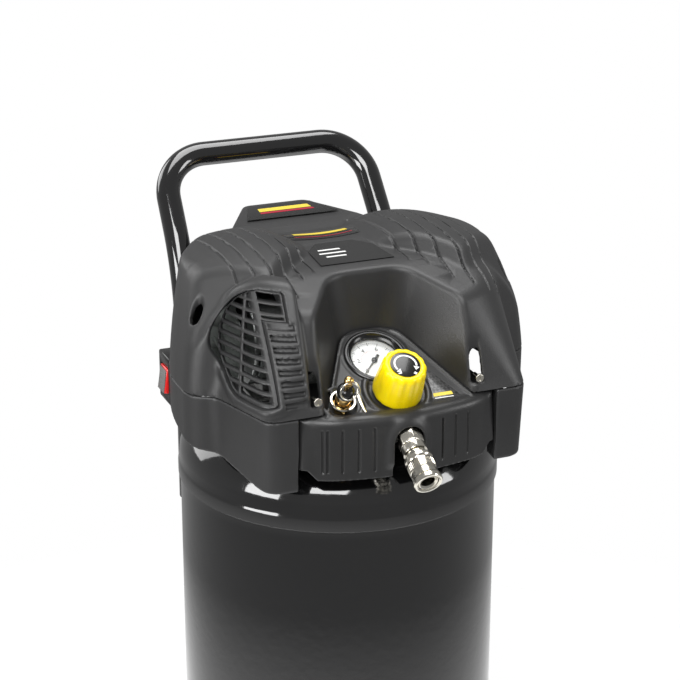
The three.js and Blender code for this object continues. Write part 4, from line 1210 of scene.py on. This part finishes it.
def makeConsolePlate():
    place = consoleSpot(0, 0)
    plate = [(36, -31), (60.5, -72), (59.5, -75.5), (56, -77), (31, -77.5), (27.5, -75.5), (28.5, -66),
             (31.5, -52)]
    mesh = slab("plate", plate, 163.4, 164.2, place, 0.3)
    addPiece("console_woven_plate", mesh, "woven_black", "console_panel")
    for name, y, deep in (("yellow", -61.5, 3.4), ("red", -66.2, 2.0), ("white", -64.0, 0.9)):
        mesh = slab(name, [(31.5, y), (49, y), (48.5, y + deep), (32, y + deep)], 164.25, 164.35, place)
        addPiece(f"console_plate_{name}", mesh, f"print_{name}", "console_panel")


# ---- switch ----
def makeSwitch():
    polished("pressure_switch_box", "gauge_black", 1.5)
    polished("switch_rocker", "rocker_red", 1.0)
    polished("switch_cable_gland", "rubber", 0.6)
    # A thin pale grey sliver on the rocker's outer side: a painted reflection that stands for the lamps'
    # glare on its glossy face, not a clear cover
    low, high = [v * 1000 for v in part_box("switch_rocker")]
    glare_sliver = [(low.x - 0.7, low.z + 1.6), (low.x + 0.1, low.z + 1.2), (low.x + 1.5, (low.z + high.z) / 2),
            (low.x + 2.6, high.z - 1.4), (low.x + 1.9, high.z - 1.0), (low.x + 0.8, (low.z + high.z) / 2)]
    upright = floorFrame @ Matrix.Rotation(math.pi / 2, 4, "X")
    mesh = slab("glare_sliver", glare_sliver, -high.y + 1.0, -low.y - 1.0, upright, 0.2)
    addPiece("switch_rocker_painted_glare", mesh, "soft_clear", "switch_rocker")


# ---- motor and pump ----
# Each piece's finish, and how many millimetres of its edges are broken
machinery = {
    "motor_stator": ("laminate", 0.8), "motor_rotor": ("copper", 0.8), "motor_shaft": ("plain_steel", 0.5),
    "motor_end_shield": ("cast_aluminium", 1.5), "motor_bearing_rear": ("plain_steel", 0.5),
    "motor_bearing_front": ("plain_steel", 0.5), "start_capacitor": ("gauge_black", 1.5),
    "crankcase": ("cast_aluminium", 1.5), "crank_disc": ("plain_steel", 0.6),
    "piston_rod": ("cast_aluminium", 0.8), "piston_seal": ("rubber", 0.5),
    "cylinder_sleeve": ("cast_aluminium", 0.6), "cylinder_head": ("cast_aluminium", 1.0),
    "pump_base": ("plain_steel", 0.5), "rubber_mount_left": ("rubber", 1.5),
    "rubber_mount_right": ("rubber", 1.5), "discharge_tube": ("copper", 0.3), "check_valve": ("brass", 0.8),
    "manifold_block": ("dark_casting", 1.0), "cooling_fan": ("fan_plastic", 0.5),
    "drain_valve_body": ("brass", 0.6), "drain_valve_knob": ("brass", 0.4),
    "cover_screw_left": ("nickel", 0.4), "cover_screw_right": ("nickel", 0.4)}


def makeMachinery():
    for node, (finish, width) in machinery.items():
        polished(node, finish, width)


# ---- stage ----
view = {"azimuth": -21.8, "elevation": 20.7, "distance": 1.872, "target": (0, 0, 0.6385), "lens": 113.3,
        "shift": 0.0035}
lamps = {"key": ((-1.1, -1.8, 2.6), 1.5, 62), "fill": ((2.2, -1.6, 1.3), 1.0, 20),  # place, size, watts
         "top": ((0.2, 0.5, 2.9), 1.8, 50), "strip": ((-2.1, -0.6, 1.0), 1.0, 30),
         "rear": ((-1.4, 2.2, 1.6), 1.4, 16)}


def makeStage():
    makeCamera()
    makeFloor()
    for name, (spot, size, power) in lamps.items():
        lamp = bpy.data.lights.new(name, "AREA")
        lamp.shape = "SQUARE"
        lamp.size = size
        lamp.energy = power
        thing = bpy.data.objects.new(name, lamp)
        thing.location = spot
        thing.rotation_euler = (Vector((0, 0, 0.65)) - Vector(spot)).to_track_quat("-Z", "Y").to_euler()
        bpy.context.scene.collection.objects.link(thing)
    world = bpy.data.worlds.new("studio")
    bpy.context.scene.world = world
    world.use_nodes = True
    sky = Graph(world.node_tree)
    seen = sky.add("ShaderNodeLightPath").out("Is Camera Ray")
    background = world.node_tree.nodes["Background"]
    background.inputs["Color"].default_value = (1, 1, 1, 1)
    strength = seen * 0.72 + 0.28  # white behind the floor, but soft as a light
    sky.tree.links.new(strength.socket, background.inputs["Strength"])
    bpy.context.scene.view_settings.view_transform = "Standard"


def makeCamera():
    a, e = math.radians(view["azimuth"]), math.radians(view["elevation"])
    back = Vector((math.sin(a) * math.cos(e), -math.cos(a) * math.cos(e), math.sin(e)))
    data = bpy.data.cameras.new("camera")
    data.lens = view["lens"]
    data.shift_x = view["shift"]
    camera = bpy.data.objects.new("camera", data)
    camera.location = Vector(view["target"]) + back * view["distance"]
    camera.rotation_euler = (-back).to_track_quat("-Z", "Y").to_euler()
    bpy.context.scene.collection.objects.link(camera)
    bpy.context.scene.camera = camera


def makeFloor():
    turns = [2 * math.pi * i / 96 for i in range(96)]
    floor = meshOf("floor", [(1.2 * math.cos(t), 1.2 * math.sin(t), 0) for t in turns], [list(range(96))])
    paint = Paint("studio_floor")
    cloud = paint.noise(3, 2.0)
    paint.feed(Base_Color=paint.blend(cloud, grey(0.86), grey(0.90)))
    paint.feed(Roughness=cloud * 0.1 + 0.7)
    away = paint.add("ShaderNodeVectorMath", {"operation": "LENGTH"}, {0: paint.place}, out=1)
    paint.feed(Alpha=((0.95 - away) * 1.8).clamped())  # the floor fades into the white studio
    floor.materials.append(finishes["studio_floor"])
    ground = bpy.data.objects.new("floor", floor)
    bpy.context.scene.collection.objects.link(ground)


makeStage()
mixFinishes()
print("finishes mixed:", len(finishes))
makeTank()
makeHandle()
makeWheels()
print("tank, handle and wheels done")
makeCovers()
makeConsole()
makeGauge()
makeRegulator()
makeSafetyValve()
makeCoupler()
makeBadges()
makeConsolePlate()
makeSwitch()
makeMachinery()
print("pieces done")
